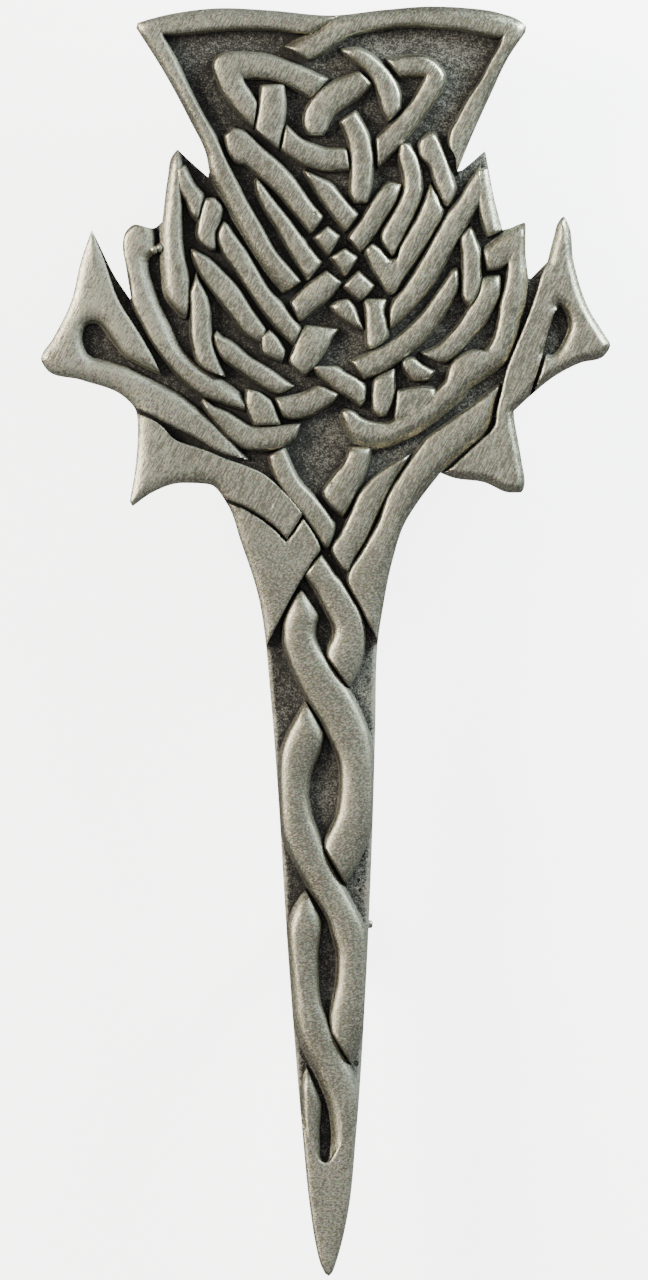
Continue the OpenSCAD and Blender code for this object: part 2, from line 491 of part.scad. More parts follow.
module ribbon(row) {
    rise = row[0];
    stations = row[5];
    last = len(stations) - 1;
    first_step = max(row[1], soft) * unit / mid_gap(stations[0], stations[1]);
    last_step = max(row[2], soft) * unit / mid_gap(stations[last], stations[last - 1]);
    start_in = mix(stations[0], stations[1], min(first_step, end_most));
    end_in = mix(stations[last], stations[last - 1], min(last_step, end_most));
    start_share = row[1] > 0 ? tucked : 1;
    end_share = row[2] > 0 ? tucked : 1;
    inner = [for (i = [1:1:last - 1]) stations[i]];
    rings = [
        end_section(stations[0], row[3], row[4], rise, start_share),
        for (s = concat([start_in], inner, [end_in])) section(s, row[3], row[4], rise, 1),
        end_section(stations[last], row[3], row[4], rise, end_share)
    ];
    n = 6;
    count = len(rings);
    walls = [
        for (r = [0:count - 2], c = [0:n - 1]) let (d = (c + 1) % n) each [
            [r * n + c, r * n + d, (r + 1) * n + d],
            [r * n + c, (r + 1) * n + d, (r + 1) * n + c]
        ]
    ];
    first_cap = [for (c = [1:n - 2]) [0, c + 1, c]];
    last_cap = [for (c = [1:n - 2]) [(count - 1) * n, (count - 1) * n + c, (count - 1) * n + c + 1]];
    faces = concat(walls, first_cap, last_cap);
    turned = total([for (s = [0:last - 1]) strip_area(stations[s], stations[s + 1])]) > 0;
    polyhedron(
        points = [for (ring = rings) each ring],
        faces = turned ? [for (f = faces) [f[0], f[2], f[1]]] : faces,
        convexity = 6
    );
}

module crest(line) {
    for (i = [0:len(line) - 2]) hull() {
        for (p = [line[i], line[i + 1]])
            translate([each at(p[0], p[1]), ground_z + relief_h * crest_seat]) sphere(crest_r, $fn = 8);
    }
}

module outline() {
    polygon([for (run = edge_runs) for (p = smooth(run, 2)) at(p[0] + nudge, p[1] + nudge)]);
}

module thistle_plaque() {
    color([0.55, 0.53, 0.49]) intersection() {
        translate([0, 0, back_z]) linear_extrude(ground_t + relief_h * head_room) outline();
        union() {
            translate([-pin_length, -pin_length, back_z - sink])
                cube([2 * pin_length, 2 * pin_length, ground_t + sink]);
            for (group = [crown, knot, weave_top, knobs, weave_left, weave_mid, leaves, twist]) {
                for (row = group) ribbon(row);
            }
            for (line = crests) crest(line);
        }
    }
}

// Places on the plan where the fitting's hinge block and catch stand
hinge_at = at(327, 206);
catch_at = at(327.5, 926);
pad_t = 0.9;
pad_over = 0.8;
hinge_l = 3.6;
catch_l = 3.2;
wall_t = 0.9;
lip_over = 0.5;
lip_h = stem_z + lip_over;
lever_d = 0.6;
lever_reach = 3.55;
stem_past_catch = 2.4;
point_l = 2;
point_d = 0.28;
round_steps = 32;

module pad(centre, length) {
    wide_x = foot_w + pad_over;
    long_y = length + 2 * pad_over;
    translate([centre[0] - wide_x / 2, centre[1] - long_y / 2, back_z - seat_gap - pad_t])
        cube([wide_x, long_y, pad_t]);
}

module hinge_block() {
    translate([hinge_at[0] - foot_w / 2, hinge_at[1] - hinge_l / 2, 0])
        cube([foot_w, hinge_l, back_z - seat_gap - pad_t / 2]);
    pad(hinge_at, hinge_l);
}

module catch() {
    floor_t = stem_z;
    lip_x = foot_w / 2 - wall_t / 2;
    lever_z = lip_h - lever_d;
    lever_end = lever_reach - lever_d / 2;
    translate([catch_at[0] - foot_w / 2, catch_at[1] - catch_l / 2, 0]) {
        cube([foot_w, catch_l, floor_t]);
        cube([wall_t, catch_l, back_z - seat_gap - pad_t / 2]);
        translate([foot_w - wall_t, 0, 0]) cube([wall_t, catch_l, lip_h]);
    }
    pad(catch_at, catch_l);
    translate([catch_at[0] + lip_x, catch_at[1], lever_z]) rotate([0, 90, 0])
        cylinder(d = lever_d, h = lever_end - lip_x, $fn = round_steps);
    translate([catch_at[0] + lever_end, catch_at[1], lever_z]) sphere(d = lever_d, $fn = round_steps);
}

module stem() {
    straight = hinge_at[1] - catch_at[1] + stem_past_catch;
    translate([catch_at[0], hinge_at[1], stem_z]) rotate([90, 0, 0]) {
        cylinder(d = stem_d, h = straight, $fn = round_steps);
        translate([0, 0, straight]) cylinder(d1 = stem_d, d2 = point_d, h = point_l, $fn = round_steps);
    }
}

module pin_fitting() {
    color([0.72, 0.70, 0.64]) union() {
        hinge_block();
        catch();
        stem();
    }
}

thistle_plaque();
pin_fitting();
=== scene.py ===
import json
import math

import bmesh
import bpy
from mathutils import Matrix, Vector, noise
from mathutils.bvhtree import BVHTree
from mathutils.kdtree import KDTree

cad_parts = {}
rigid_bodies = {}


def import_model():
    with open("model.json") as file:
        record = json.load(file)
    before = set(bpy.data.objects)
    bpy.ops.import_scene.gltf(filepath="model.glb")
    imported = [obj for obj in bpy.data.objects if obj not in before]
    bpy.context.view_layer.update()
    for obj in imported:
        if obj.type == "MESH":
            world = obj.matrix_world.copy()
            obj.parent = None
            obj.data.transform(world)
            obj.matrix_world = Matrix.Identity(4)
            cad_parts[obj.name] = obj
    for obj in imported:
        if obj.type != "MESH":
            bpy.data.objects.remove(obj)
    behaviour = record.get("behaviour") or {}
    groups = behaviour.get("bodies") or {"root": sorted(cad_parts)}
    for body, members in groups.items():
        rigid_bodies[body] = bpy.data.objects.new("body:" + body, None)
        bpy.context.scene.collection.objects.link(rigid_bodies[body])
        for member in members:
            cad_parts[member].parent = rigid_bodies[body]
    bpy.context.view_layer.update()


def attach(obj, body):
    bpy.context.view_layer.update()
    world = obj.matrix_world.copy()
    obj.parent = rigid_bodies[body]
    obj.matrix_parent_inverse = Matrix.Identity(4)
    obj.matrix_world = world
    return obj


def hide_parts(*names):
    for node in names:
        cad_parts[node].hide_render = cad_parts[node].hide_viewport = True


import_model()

print("frame loaded")

# The plan has its own units, x to the right and y down from the crown to the blade's point
plan = {
    "left": 40.6, "right": 610.5, "top": 6.5, "bottom": 1276.1,
    "length": 0.095,        # the whole pin in metres
    "margin": 12,           # how far the ground sheet passes the outline before it is cut
    "headEnd": 530, "bladeMiddle": 335, "bladeRoom": 118,   # below the head the sheet is only so wide
}
unit = plan["length"] / (plan["bottom"] - plan["top"])
planMiddle = ((plan["left"] + plan["right"]) / 2, (plan["top"] + plan["bottom"]) / 2)

# Heights in metres from the surface that the pin lies on, steps and widths in the plan's units
casting = {
    "back": 0.0063, "ground": 0.0079, "relief": 0.0011, "sink": 0.0003,
    "spare": 0.001,         # how far the ground sheet reaches below the back before it is cut
    "outlineStep": 3, "fineStep": 0.8,
    "groundStep": 2.1,      # one cell of the ground sheet
    "padStep": 1.7,         # the same for the broad pads
    "padMargin": 3,
    "rowStep": 3.6,         # distance between two sections of a ribbon
    "columnsOnTop": 3,      # columns between the two roundings of a ribbon
    "leastGap": 0.3, "leastWidth": 0.2,
    "sideFill": 0.92,       # how much of the room that it has a side's rounding may take
    "endFill": 0.46,        # how much of a ribbon's length an end may take
    "narrowRise": 0.6,      # height of a ribbon too narrow for its roundings
    "grit": 0.00004,        # how rough the ground is
    "fineGrain": 0.33, "coarseGrain": 0.13, "coarseShare": 0.9,
    "lipWidth": 4, "lipFall": 0.00016,
    "waviness": 0.000005, "waveLength": 0.0007, "wavyFrom": 0.3,    # how uneven the raised metal is
    "sharpAngle": 50,
}

soft, wide, broad, rolled, crested, dipping, cut, fading = (
    "soft", "wide", "broad", "rolled", "crested", "dipping", "cut", "fading")


def place(x, y, height):
    return Vector(((x - planMiddle[0]) * unit, (planMiddle[1] - y) * unit, height))


# Outer edge of the casting: each run is smooth, and runs meet in corners
outlineRuns = {
    "crownEdge": [
        [137.5, 22.8], [160, 16.3], [190, 10.7], [225, 8], [270, 10.3], [330, 15.3], [385, 9.7], [431, 6.4],
        [465, 7.8], [498, 12.5], [520, 20.8], [526.3, 26.5]
    ],
    "rightRailEdge": [[525.6, 31.5], [510, 54.3], [490, 95.7], [470, 140], [457.3, 171]],
    "rightSpikeLeft": [[462, 170], [473, 161], [484.3, 151]],
    "rightSpikeRight": [[485.8, 152.5], [494.4, 199], [502.5, 229.6]],
    "rightKnobTop": [[510, 228.2], [518, 224.6], [524.3, 222.3]],
    "rightKnobSide": [[525.7, 224], [525.5, 250], [528.3, 277.8]],
    "rightLeafInner": [[530.8, 278.4], [540, 269.1], [547.7, 261.4]],
    "rightLeafOuter": [
        [547.7, 261.4], [554.5, 235], [559, 220.9], [563.6, 216.3], [567.7, 222.7], [573.6, 260.9], [589, 309],
        [604.5, 334.5], [610.4, 345], [605, 355], [580, 362.8], [556, 375.3], [530, 396], [513.9, 411]
    ],
    "rightPointEdge": [
        [514.2, 419], [521.7, 461], [524.8, 482], [521, 492.3], [511, 492.5], [484.4, 482.2], [452.2, 477.2],
        [440.5, 472.6]
    ],
    "bladeRight": [
        [440.5, 472.6], [419, 500.7], [404, 525], [393.3, 557.8], [383, 608], [377.5, 647], [375.4, 730],
        [372, 845], [365.8, 986.7], [356.3, 1133.3], [348, 1213.3], [340.8, 1246.7], [337.2, 1259],
        [334, 1268.5], [331.6, 1273.5], [328.6, 1276]
    ],
    "bladeLeft": [
        [328.6, 1276], [325.2, 1273.5], [322.3, 1268.5], [319, 1259], [315.8, 1245], [310.3, 1210],
        [302, 1128.3], [288, 953.3], [276.7, 775], [270.8, 700], [256.7, 590], [241, 542.2], [226.7, 503.3],
        [210, 484.5], [182, 482.8], [152, 492.3], [132.3, 506]
    ],
    "leftPointEdge": [
        [129.8, 501.5], [135.6, 465.6], [137.9, 430], [134.4, 407.8], [123, 396], [82, 380], [46, 368.8],
        [41, 359], [53, 338.5], [71, 302], [81, 261], [91.7, 229.8]
    ],
    "leftLeafInner": [[91.7, 229.8], [97.8, 242], [114.4, 275.6], [130, 299]],
    "leftKnobEdge": [
        [131, 298], [125.6, 264.4], [122.8, 247], [127, 230], [135, 224.4], [152, 228.3], [162.2, 222]
    ],
    "leftSpikeEdge": [[162.2, 222], [167.8, 177], [172, 156], [177.5, 149.3]],
    "leftSpikeRight": [[177.5, 149.3], [190, 161], [207.9, 176.9]],
    "leftRailEdge": [[209.3, 171.4], [205.7, 153], [190, 120], [163, 70], [136.2, 27.5]],
}

# Raised ribbons: rise, tuck of the start and of the end, rounding of the two sides, and stations
# A station is x and y on the first side, then x and y on the second
ribbons = {}
ribbons["crown"] = [
    (1, 8, 0, wide, soft,
     (343, 14.2, 313, 34), (329, 15.8, 300, 33), (280, 10.8, 273, 29.3), (250, 9.3, 250, 28.6),
     (210, 8.9, 215, 30), (180, 12.6, 187, 33.3), (155, 17.6, 168, 34), (137.6, 23, 163.2, 34.2),
     (136.4, 27.6, 163, 36), (143, 39.5, 167, 44), (155, 58.3, 174, 57), (171, 84, 187, 84),
     (182, 103.5, 201, 111), (200, 140, 218.6, 143), (206, 154.5, 225, 158), (209.5, 172, 234, 177),
     (222, 197, 244, 197), (240, 230, 261, 226.5), (257, 258, 276, 253), (271, 277, 289, 268),
     (284.4, 291.7, 300, 281)),
    (1.02, 0, 0, wide, soft,
     (287, 47, 309.3, 59), (300, 38.5, 323, 53), (316, 30, 336, 44), (333, 17, 351, 35), (350, 13.8, 365, 31.5),
     (370, 11.5, 380, 28.5), (390, 9.5, 395, 26.5), (415, 7.6, 415, 25.8), (440, 6.9, 437, 27.2),
     (465, 8, 458, 29), (490, 11.4, 480, 33.5), (505, 15.6, 497, 37), (525, 26, 502.5, 36.5),
     (524.5, 32, 501, 42), (513, 50, 490.5, 61.5), (503, 69, 481.5, 79), (490, 95.7, 468.5, 98.5),
     (480, 117, 457.5, 119), (471, 138, 450.5, 132.5), (463, 155.5, 449, 145), (458.6, 167.5, 455.5, 158),
     (457.3, 170.8, 456.5, 169)),
]
ribbons["knot"] = [
    (0.97, 6, 0, soft, soft,
     (328, 79.5, 312, 98.6), (314, 73, 300, 91.5), (296, 64.5, 285.7, 84), (273, 56.4, 268, 79),
     (252, 53.2, 253, 78), (232, 52.4, 244, 78), (217, 57, 243.5, 78.6), (213.5, 66, 243.3, 79.8),
     (216.5, 77, 245, 84.5), (223, 92, 249.5, 91), (238, 112, 253.7, 97), (253, 127, 257, 102)),
    (1.03, 0, 0, soft, soft,
     (261.5, 86, 284, 85), (259.8, 100, 285, 101), (258, 114, 284.3, 115), (255.8, 126, 281.5, 134),
     (256, 130, 278.5, 148.5)),
    (0.97, 0, 0, soft, soft,
     (286.5, 126, 281.5, 150), (301, 138.6, 294, 158.6), (315.7, 145.7, 307.5, 165.7), (330, 149.3, 327, 170.5),
     (341, 149, 343, 170), (346, 149, 349, 169.5)),
    (0.98, 0, 0, soft, soft,
     (371.5, 84.5, 359, 71.8), (357, 98, 343, 78), (346, 106, 329, 84), (336, 113, 315, 96),
     (330.5, 119, 306.5, 109), (327.3, 125, 304, 120), (325.5, 130.5, 305.3, 129.5), (322, 134.5, 309.3, 134.5)),
    (1.03, 9, 0, soft, soft,
     (341, 49.3, 345, 55.5), (354, 48, 354, 60.5), (367, 52, 363, 67.5), (381, 63, 371, 77), (391, 74, 376, 88),
     (398, 87, 380, 100), (400.6, 98, 383.5, 111.5), (400.2, 108, 389, 120)),
    (0.98, 0, 0, soft, soft,
     (387.5, 59.5, 400.5, 76.5), (405, 56.6, 409, 75.8), (419, 55.6, 420, 75.5), (434, 61.4, 425.3, 75.6),
     (444.5, 76, 425.3, 77.4), (442.5, 87, 420.5, 87), (434, 101, 412.5, 101), (422.5, 117.5, 402, 113.5),
     (408, 136, 390, 125.5), (394, 151, 381.5, 133.5), (378.5, 166, 376.5, 137.5)),
    (1.03, 0, 0, soft, soft,
     (340, 122, 355.5, 111.5), (345.5, 133, 366.5, 130.5), (349.5, 147, 371.5, 148), (351.3, 162, 373, 161),
     (351, 178, 371.8, 175), (350.3, 193, 370.5, 189), (355, 202.5, 366.5, 202)),
]
ribbons["weaveTop"] = [
    (1, 0, 0, soft, soft,
     (235, 128.8, 224.5, 136), (243, 131, 227.5, 150), (251, 137, 236, 162), (263, 149, 246, 165),
     (279, 163, 261, 178), (296.5, 182.5, 279.5, 195.5), (311, 203, 295, 214), (322.5, 216.5, 310.5, 232.5)),
    (0.97, 5, 0, soft, soft,
     (257, 177.5, 254.5, 180), (264, 187, 257.5, 194), (275, 202, 264, 208.5), (289, 219.5, 278, 230),
     (304, 240.5, 290, 252), (320.6, 262, 307.5, 279.5)),
    (0.97, 6, 0, soft, soft,
     (305, 170, 303, 171), (318, 177, 309.5, 181), (328.5, 182, 316, 191.5), (341, 195.5, 329.5, 211.5),
     (357.5, 214.5, 345, 230.5)),
    (1.02, 0, 0, soft, soft,
     (327.8, 227.2, 314.4, 238.3), (338.9, 236, 327.8, 255)),
    (1.02, 0, 0, soft, soft,
     (345.6, 249, 331, 258), (357, 257.5, 344.5, 275.5)),
    (1.03, 12, 0, soft, soft,
     (402, 184, 388, 181.5), (393, 205, 372, 202), (383, 220.5, 362, 219), (372, 237.5, 352, 232),
     (361, 251, 349, 238)),
    (1, 0, 0, soft, soft,
     (409.5, 144.4, 400, 144.6), (416.5, 156, 399, 157), (421, 173, 403, 174), (422, 188, 404.3, 187),
     (418, 203.5, 400, 201), (408.5, 224, 389.5, 219.5), (397, 247.5, 381.3, 238.5), (393, 256, 391, 255)),
    (0.98, 5, 0, soft, soft,
     (434.5, 132.2, 428, 132.5), (440.5, 145, 419, 144), (445.5, 157, 420.5, 156), (449.5, 168.5, 430, 166.5),
     (453, 180, 434.5, 181), (455.3, 190, 440, 194), (448.5, 205, 445, 205.5)),
    (1, 0, 22, soft, soft,
     (365, 251, 373, 244.5), (370.5, 265.5, 380, 249), (379, 279, 385.5, 255.5), (389.3, 294, 391.3, 260.3),
     (391, 294, 393.3, 260), (404, 276.5, 400.5, 246.5), (422, 250, 410.5, 229.5), (432, 233, 416, 220),
     (442.5, 210, 424, 203), (437.5, 196, 427.5, 193), (431.5, 184.5, 430.5, 184)),
    (1.03, 4, 0, soft, soft,
     (483, 186, 480.5, 167), (480.5, 201.5, 470.5, 181), (473, 214, 461, 197), (464.5, 228, 450, 211),
     (454, 246.5, 439.5, 229), (443.5, 265, 427.5, 250.5), (431.5, 285.5, 415, 271.5), (419.5, 300, 404, 288.5),
     (405.5, 314.5, 393.5, 301.5), (395, 324, 390, 312), (390.5, 328.5, 389.8, 327)),
    (1, 0, 0, wide, soft,
     (489, 168.5, 479, 170), (492.8, 189, 477, 188), (495.3, 204, 478.3, 204), (498.3, 219, 482, 221),
     (500, 230.5, 488, 235.5)),
    (1, 4, 0, soft, soft,
     (471.5, 227, 470, 226.5), (476.5, 241, 460.5, 240), (480.2, 254, 462.5, 255), (480.6, 270, 462.7, 272),
     (479.8, 288, 462.3, 290), (474, 301, 464.5, 301), (470, 306, 468.5, 306)),
]
ribbons["knobs"] = [
    (1, 0, 0, wide, soft,
     (484, 249, 487.9, 270), (497, 238.5, 499, 268.5), (511, 228.8, 507.5, 263.5), (524.5, 223.5, 507.8, 264),
     (525.5, 237, 507.9, 265), (525.6, 255, 507.6, 270), (526.8, 272, 506.7, 279), (525.6, 286, 505, 288),
     (523.5, 306, 500.5, 304), (519, 321, 498.5, 320), (516.5, 336, 494.5, 337), (511, 351, 489, 347.5),
     (507.5, 359, 485.5, 351), (498, 367, 476, 350), (489, 373.5, 460, 356), (480, 380, 451, 365),
     (469, 387, 446.8, 379), (460, 399, 440, 388), (449, 408.5, 430, 398), (436, 419.5, 420, 408),
     (421, 430, 408, 413.8), (404, 438.5, 397, 418.5), (388, 445, 386, 424), (371, 447, 370, 421.5),
     (356, 443, 360, 417.5), (346, 430, 353.5, 412), (340.5, 415, 344.8, 409.5)),
    (0.96, 0, 5, soft, soft,
     (398, 391, 395, 421), (408, 389, 405, 420), (422, 387.2, 421, 416), (436, 389, 437, 403)),
    (1, 0, 0, wide, soft,
     (152, 229.5, 134, 224.6), (153.8, 241, 126.3, 232), (152.8, 252.5, 123.2, 243), (146, 259.5, 123.4, 254),
     (146.5, 270, 126.5, 268), (151.5, 286, 130.2, 285), (158, 303.5, 132.5, 303), (167, 323, 141.5, 322),
     (177, 345, 154, 345), (188.5, 358.5, 168, 363.5), (205, 370.5, 186.7, 383.3), (224, 382.5, 207, 397),
     (236, 391.5, 226, 404), (244, 399.8, 245, 410)),
]
ribbons["weaveLeft"] = [
    (1, 12, 6, soft, wide,
     (178.5, 150, 175, 150), (181, 168, 169.5, 168), (181, 190, 165.8, 192), (181.5, 210, 163.5, 212),
     (181, 232, 161.3, 235), (182.8, 252, 161.7, 252), (187.5, 272, 163, 273), (189, 296, 166.7, 297.8),
     (188, 310, 176, 310), (186.7, 318, 184.5, 318.5)),
    (1, 0, 0, soft, soft,
     (184.5, 166.5, 176, 170), (194, 184.5, 179, 189), (203, 196.5, 186, 201.5), (200.5, 210, 193, 216.7),
     (198.8, 218, 196.5, 220)),
    (1, 0, 0, soft, soft,
     (215, 198.5, 205, 199.5), (222.3, 208.5, 202, 208), (219.5, 221, 199, 220), (215.3, 235, 197, 234),
     (215.5, 245, 201.5, 243.5), (214.5, 250, 210, 250)),
    (1, 0, 0, soft, soft,
     (226.5, 223, 222.5, 222.5), (234, 234.5, 217.8, 236), (245, 249.5, 222, 251), (256, 268, 233, 267),
     (268, 288.5, 247, 288), (282, 304.5, 263, 311.5), (292.5, 318, 277, 328.5), (300.3, 328.5, 293, 344.3)),
    (0.98, 5, 0, soft, soft,
     (191.5, 248.3, 190.5, 250), (208, 258, 195.5, 264.5), (222, 271, 204, 280), (237, 286.5, 217.5, 298),
     (250, 307, 233.5, 318), (258, 318.5, 246, 334), (265.5, 329, 260, 342.5)),
    (1, 0, 0, soft, soft,
     (270, 330.5, 261, 338), (277, 337.5, 262, 351.5), (284.5, 350, 281.5, 361)),
    (1.02, 8, 0, soft, soft,
     (197, 272, 196, 272.3), (199, 281, 193.5, 283), (206, 294.5, 190, 295), (209.3, 308, 191, 310),
     (210.3, 328, 191, 330), (213.5, 347.5, 193.5, 348), (219, 363.5, 199, 364.5), (223.5, 373.5, 211, 372.5),
     (224.5, 376.3, 221, 376)),
    (0.97, 0, 6, soft, soft,
     (216.5, 332, 213.5, 337), (221, 336.7, 216, 347), (230, 341, 221, 356.5), (247, 355.5, 237, 369),
     (266, 367, 255, 381.5), (280, 377, 270, 390.5), (293.3, 386.7, 280, 394)),
    (1.02, 0, 0, soft, soft,
     (261, 393, 246.7, 389.8), (270.5, 401, 245.8, 402), (276.5, 413, 248.9, 413.3), (280, 424, 254, 425)),
    (1, 8, 0, soft, soft,
     (204, 398, 201, 401.5), (212, 405.5, 207.8, 413.3), (226, 411.5, 217.5, 425.5), (240, 420.5, 231, 439),
     (254.4, 427, 247.8, 449), (270, 426.8, 266, 450), (285, 425.7, 283, 446.8), (299, 424.5, 294, 438.5)),
]
ribbons["weaveMid"] = [
    (1.02, 0, 0, soft, soft,
     (340.5, 283, 326, 271.5), (328, 298.5, 308, 284.5), (300, 320.8, 291, 302)),
    (1.02, 0, 0, soft, soft,
     (358.5, 271.5, 343.5, 287), (374, 285.5, 360, 300.5)),
    (0.97, 6, 0, soft, soft,
     (336, 301, 329.5, 306), (347.5, 299.5, 337, 314.5), (354, 307, 345, 320.5), (359, 319, 353.5, 326),
     (364, 329.5, 361, 329)),
    (1, 10, 0, soft, soft,
     (386, 299, 364, 299), (383.5, 311, 365.6, 310), (386.5, 322, 366, 322), (387.5, 333, 366.3, 334),
     (382, 343.5, 367.2, 346), (376, 347.5, 369, 348.5)),
    (0.98, 20, 0, soft, soft,
     (338, 329, 305, 325.5), (331, 338, 298.8, 336), (324, 351.5, 293.5, 350), (313, 367, 289.5, 361),
     (306, 374.5, 302, 374)),
    (1, 6, 0, soft, soft,
     (458, 268, 455, 267.5), (458, 284, 448, 277), (452.5, 299, 437, 293), (440, 319.5, 424, 311.5),
     (424.5, 340, 408, 328), (405, 356.5, 391, 342), (384, 370.5, 370, 352.5), (365, 378.5, 352, 361)),
    (0.98, 10, 0, soft, soft,
     (500, 275, 483, 277), (499.5, 292, 477.5, 296), (492, 310.5, 468.5, 309), (482, 326.5, 459.5, 323.5),
     (468, 341.5, 447.5, 337), (454, 356, 438, 345.5), (442, 362.3, 430, 349.5), (430, 358.5, 422, 352.5)),
    (0.98, 4, 0, soft, soft,
     (402, 359, 401, 364), (411, 358, 406, 373), (423, 365, 417, 380.5), (433.5, 371, 428, 379.5)),
    (0.97, 8, 0, soft, soft,
     (394.5, 368, 375, 377), (394.4, 380, 373.3, 385), (393.5, 394, 372.2, 398), (390, 407, 374, 412.5),
     (386, 414.8, 379, 416)),
    (1, 0, 0, soft, soft,
     (322, 366.3, 313.5, 367.5), (334, 366.5, 317, 373.5), (345, 372.5, 326, 381.5), (358, 379.5, 338, 391.5),
     (365.5, 388.5, 350, 398), (365, 398, 360.5, 405.5)),
    (1, 0, 0, soft, soft,
     (276, 398.8, 284, 417), (290, 396.7, 293, 418.5), (305.6, 392.5, 309, 415.5), (319, 386.5, 322, 408.5),
     (333, 391.5, 332.5, 401.8), (338.5, 393.5, 337.5, 396.5)),
    (1, 0, 0, soft, soft,
     (284, 448.5, 269, 457), (290.5, 464, 272.5, 471), (299.5, 481, 281.5, 488), (314, 496.5, 294, 504.5),
     (329, 515.5, 307.5, 520.5), (334.5, 527.5, 318.5, 537), (328.3, 547, 324.7, 547.3)),
    (1, 6, 0, soft, soft,
     (370.5, 447, 350.5, 447), (367.5, 462, 345, 462), (362, 480, 334.5, 475), (355.5, 492, 323.5, 493.5),
     (349, 505, 331.5, 506.5), (343, 516, 341, 515.5)),
    (0.98, 8, 0, soft, soft,
     (410, 454.5, 404, 457), (403, 465.5, 391, 464.5), (394.5, 478, 375, 476.5), (384.5, 497.5, 361, 491.5),
     (374.5, 518, 351.5, 511.5), (363.5, 542, 341.5, 533), (353, 558.5, 332, 549.5), (348, 571, 341.5, 567.5)),
]
ribbons["arm"] = [
    (1, 5, 0, wide, soft,
     (500.5, 388, 499.5, 385), (494, 403, 487.5, 393.5), (490, 421, 474, 405), (482, 435.5, 458, 416),
     (468, 447.5, 442, 427.5), (453, 461, 428, 437.5), (441, 472, 416, 453), (428, 486.5, 401, 475),
     (411, 513, 388, 496.5), (400, 537, 378.5, 523), (392, 562, 363, 550.5), (385.5, 596, 347.8, 580),
     (381, 616, 359.7, 605), (379, 630, 369.2, 624.5), (377.8, 642, 376, 636)),
]
ribbons["twist"] = [
    (0.98, 0, 0, soft, rolled,
     (322, 557, 305.5, 576.5), (328.3, 564.5, 308.5, 581), (334, 573.5, 312, 585), (340, 581, 316, 590),
     (346, 589, 320, 598), (353, 600.5, 325, 608.5), (359.5, 612, 330, 618.5), (363, 622, 333.7, 625.5),
     (364.5, 632, 334.8, 632), (364, 643, 333, 639), (361.5, 656, 329.8, 646), (357.5, 668, 328.3, 650.5),
     (353.5, 677, 327.8, 652.7), (349.5, 684, 327.7, 654.5)),
    (1.03, 12, 0, rolled, rolled,
     (318.9, 615.5, 301.3, 589.5), (316.5, 620.5, 296, 597), (314.5, 627, 290.5, 607), (314, 634, 285.7, 618),
     (315.5, 641, 283.5, 629), (319, 649, 283.5, 640), (325, 658.5, 286, 651), (332.7, 670, 291, 665),
     (339.3, 679, 296.5, 677.5), (346, 688, 302, 688), (352.7, 699, 308, 699.5), (359.3, 712, 316, 712.5),
     (364, 724, 322.7, 723.5), (368, 735, 328.5, 736), (370, 746, 334, 746.5), (371.3, 757, 338, 756.5),
     (372.3, 773, 341, 771), (372, 790, 341.3, 788), (371, 808, 339.8, 804), (369.3, 824, 336.8, 818),
     (367, 836, 331.5, 829.5), (363, 847, 327, 838), (359, 857, 325.6, 841.5), (353, 869, 325, 843.8),
     (346, 880, 325, 845.5)),
    (1.03, 12, 0, rolled, rolled,
     (324.4, 734.5, 306, 702), (322.5, 740, 301, 710.5), (319.5, 749, 295, 721.5), (315.5, 758, 289.5, 732),
     (311.7, 766, 284.7, 743), (309, 774.5, 281.7, 754), (307.5, 786, 280.3, 770), (307, 797, 280.3, 787),
     (308.8, 809, 281, 803), (312, 821, 281.8, 819), (316.6, 832, 283.7, 833), (321, 843.5, 288, 846.5),
     (325.5, 856, 294, 859.5), (331, 868, 300.5, 871), (337.7, 880, 307.5, 884), (344.4, 891, 314, 895.5),
     (350, 901, 319.5, 904.5), (356.7, 913.5, 326, 915), (361.3, 923.5, 330.5, 925), (364, 932, 333.5, 935.5),
     (365.5, 943, 336.7, 946.5), (366.2, 959, 338.3, 959), (365.7, 975, 338, 971), (365.3, 990, 337, 983),
     (364.5, 1003, 335, 995), (363.5, 1016, 332.3, 1007), (361, 1031, 330.5, 1017), (357, 1044, 330.3, 1024),
     (350.4, 1059.5, 331, 1029.5)),
    (1.03, 16, 30, rolled, wide,
     (321.3, 921, 306.7, 891.5), (320.3, 930, 300, 900), (318.5, 940, 294.5, 908.5), (317, 950, 290.5, 918.5),
     (316.7, 961, 288, 931), (317, 972, 288.6, 945), (317.3, 983, 289.8, 961), (318, 994, 291.3, 979),
     (320.7, 1006, 293, 1000), (325, 1017, 295, 1018), (329.5, 1029, 298.5, 1034), (335, 1041, 303, 1047),
     (340.4, 1052, 308.7, 1058.5), (345.3, 1062, 314.3, 1070), (350, 1072, 319.3, 1081),
     (353.7, 1081, 324, 1091.5), (356.3, 1092, 327.8, 1102), (357.5, 1103, 330.6, 1112),
     (357.5, 1115, 332.2, 1123), (356.8, 1130, 333.3, 1136.5), (355.6, 1145, 332.8, 1146),
     (354.6, 1155, 331.5, 1155.5), (353.6, 1166, 329, 1162), (350.5, 1198, 326.5, 1198)),
    (1, 14, 30, rolled, wide,
     (321.5, 1103, 307.5, 1069), (321, 1111, 304, 1078.5), (319.5, 1121, 301.5, 1090),
     (318.7, 1132, 301.3, 1106), (318.8, 1143, 302.3, 1122), (319, 1153, 303.8, 1140),
     (320.5, 1160.5, 305, 1155), (323.5, 1168, 306.5, 1168), (326, 1198, 308.5, 1198)),
]


def makeObject(name, shape):
    mesh = bpy.data.meshes.new(name)
    shape.to_mesh(mesh)
    shape.free()
    made = bpy.data.objects.new(name, mesh)
    bpy.context.scene.collection.objects.link(made)
    return made


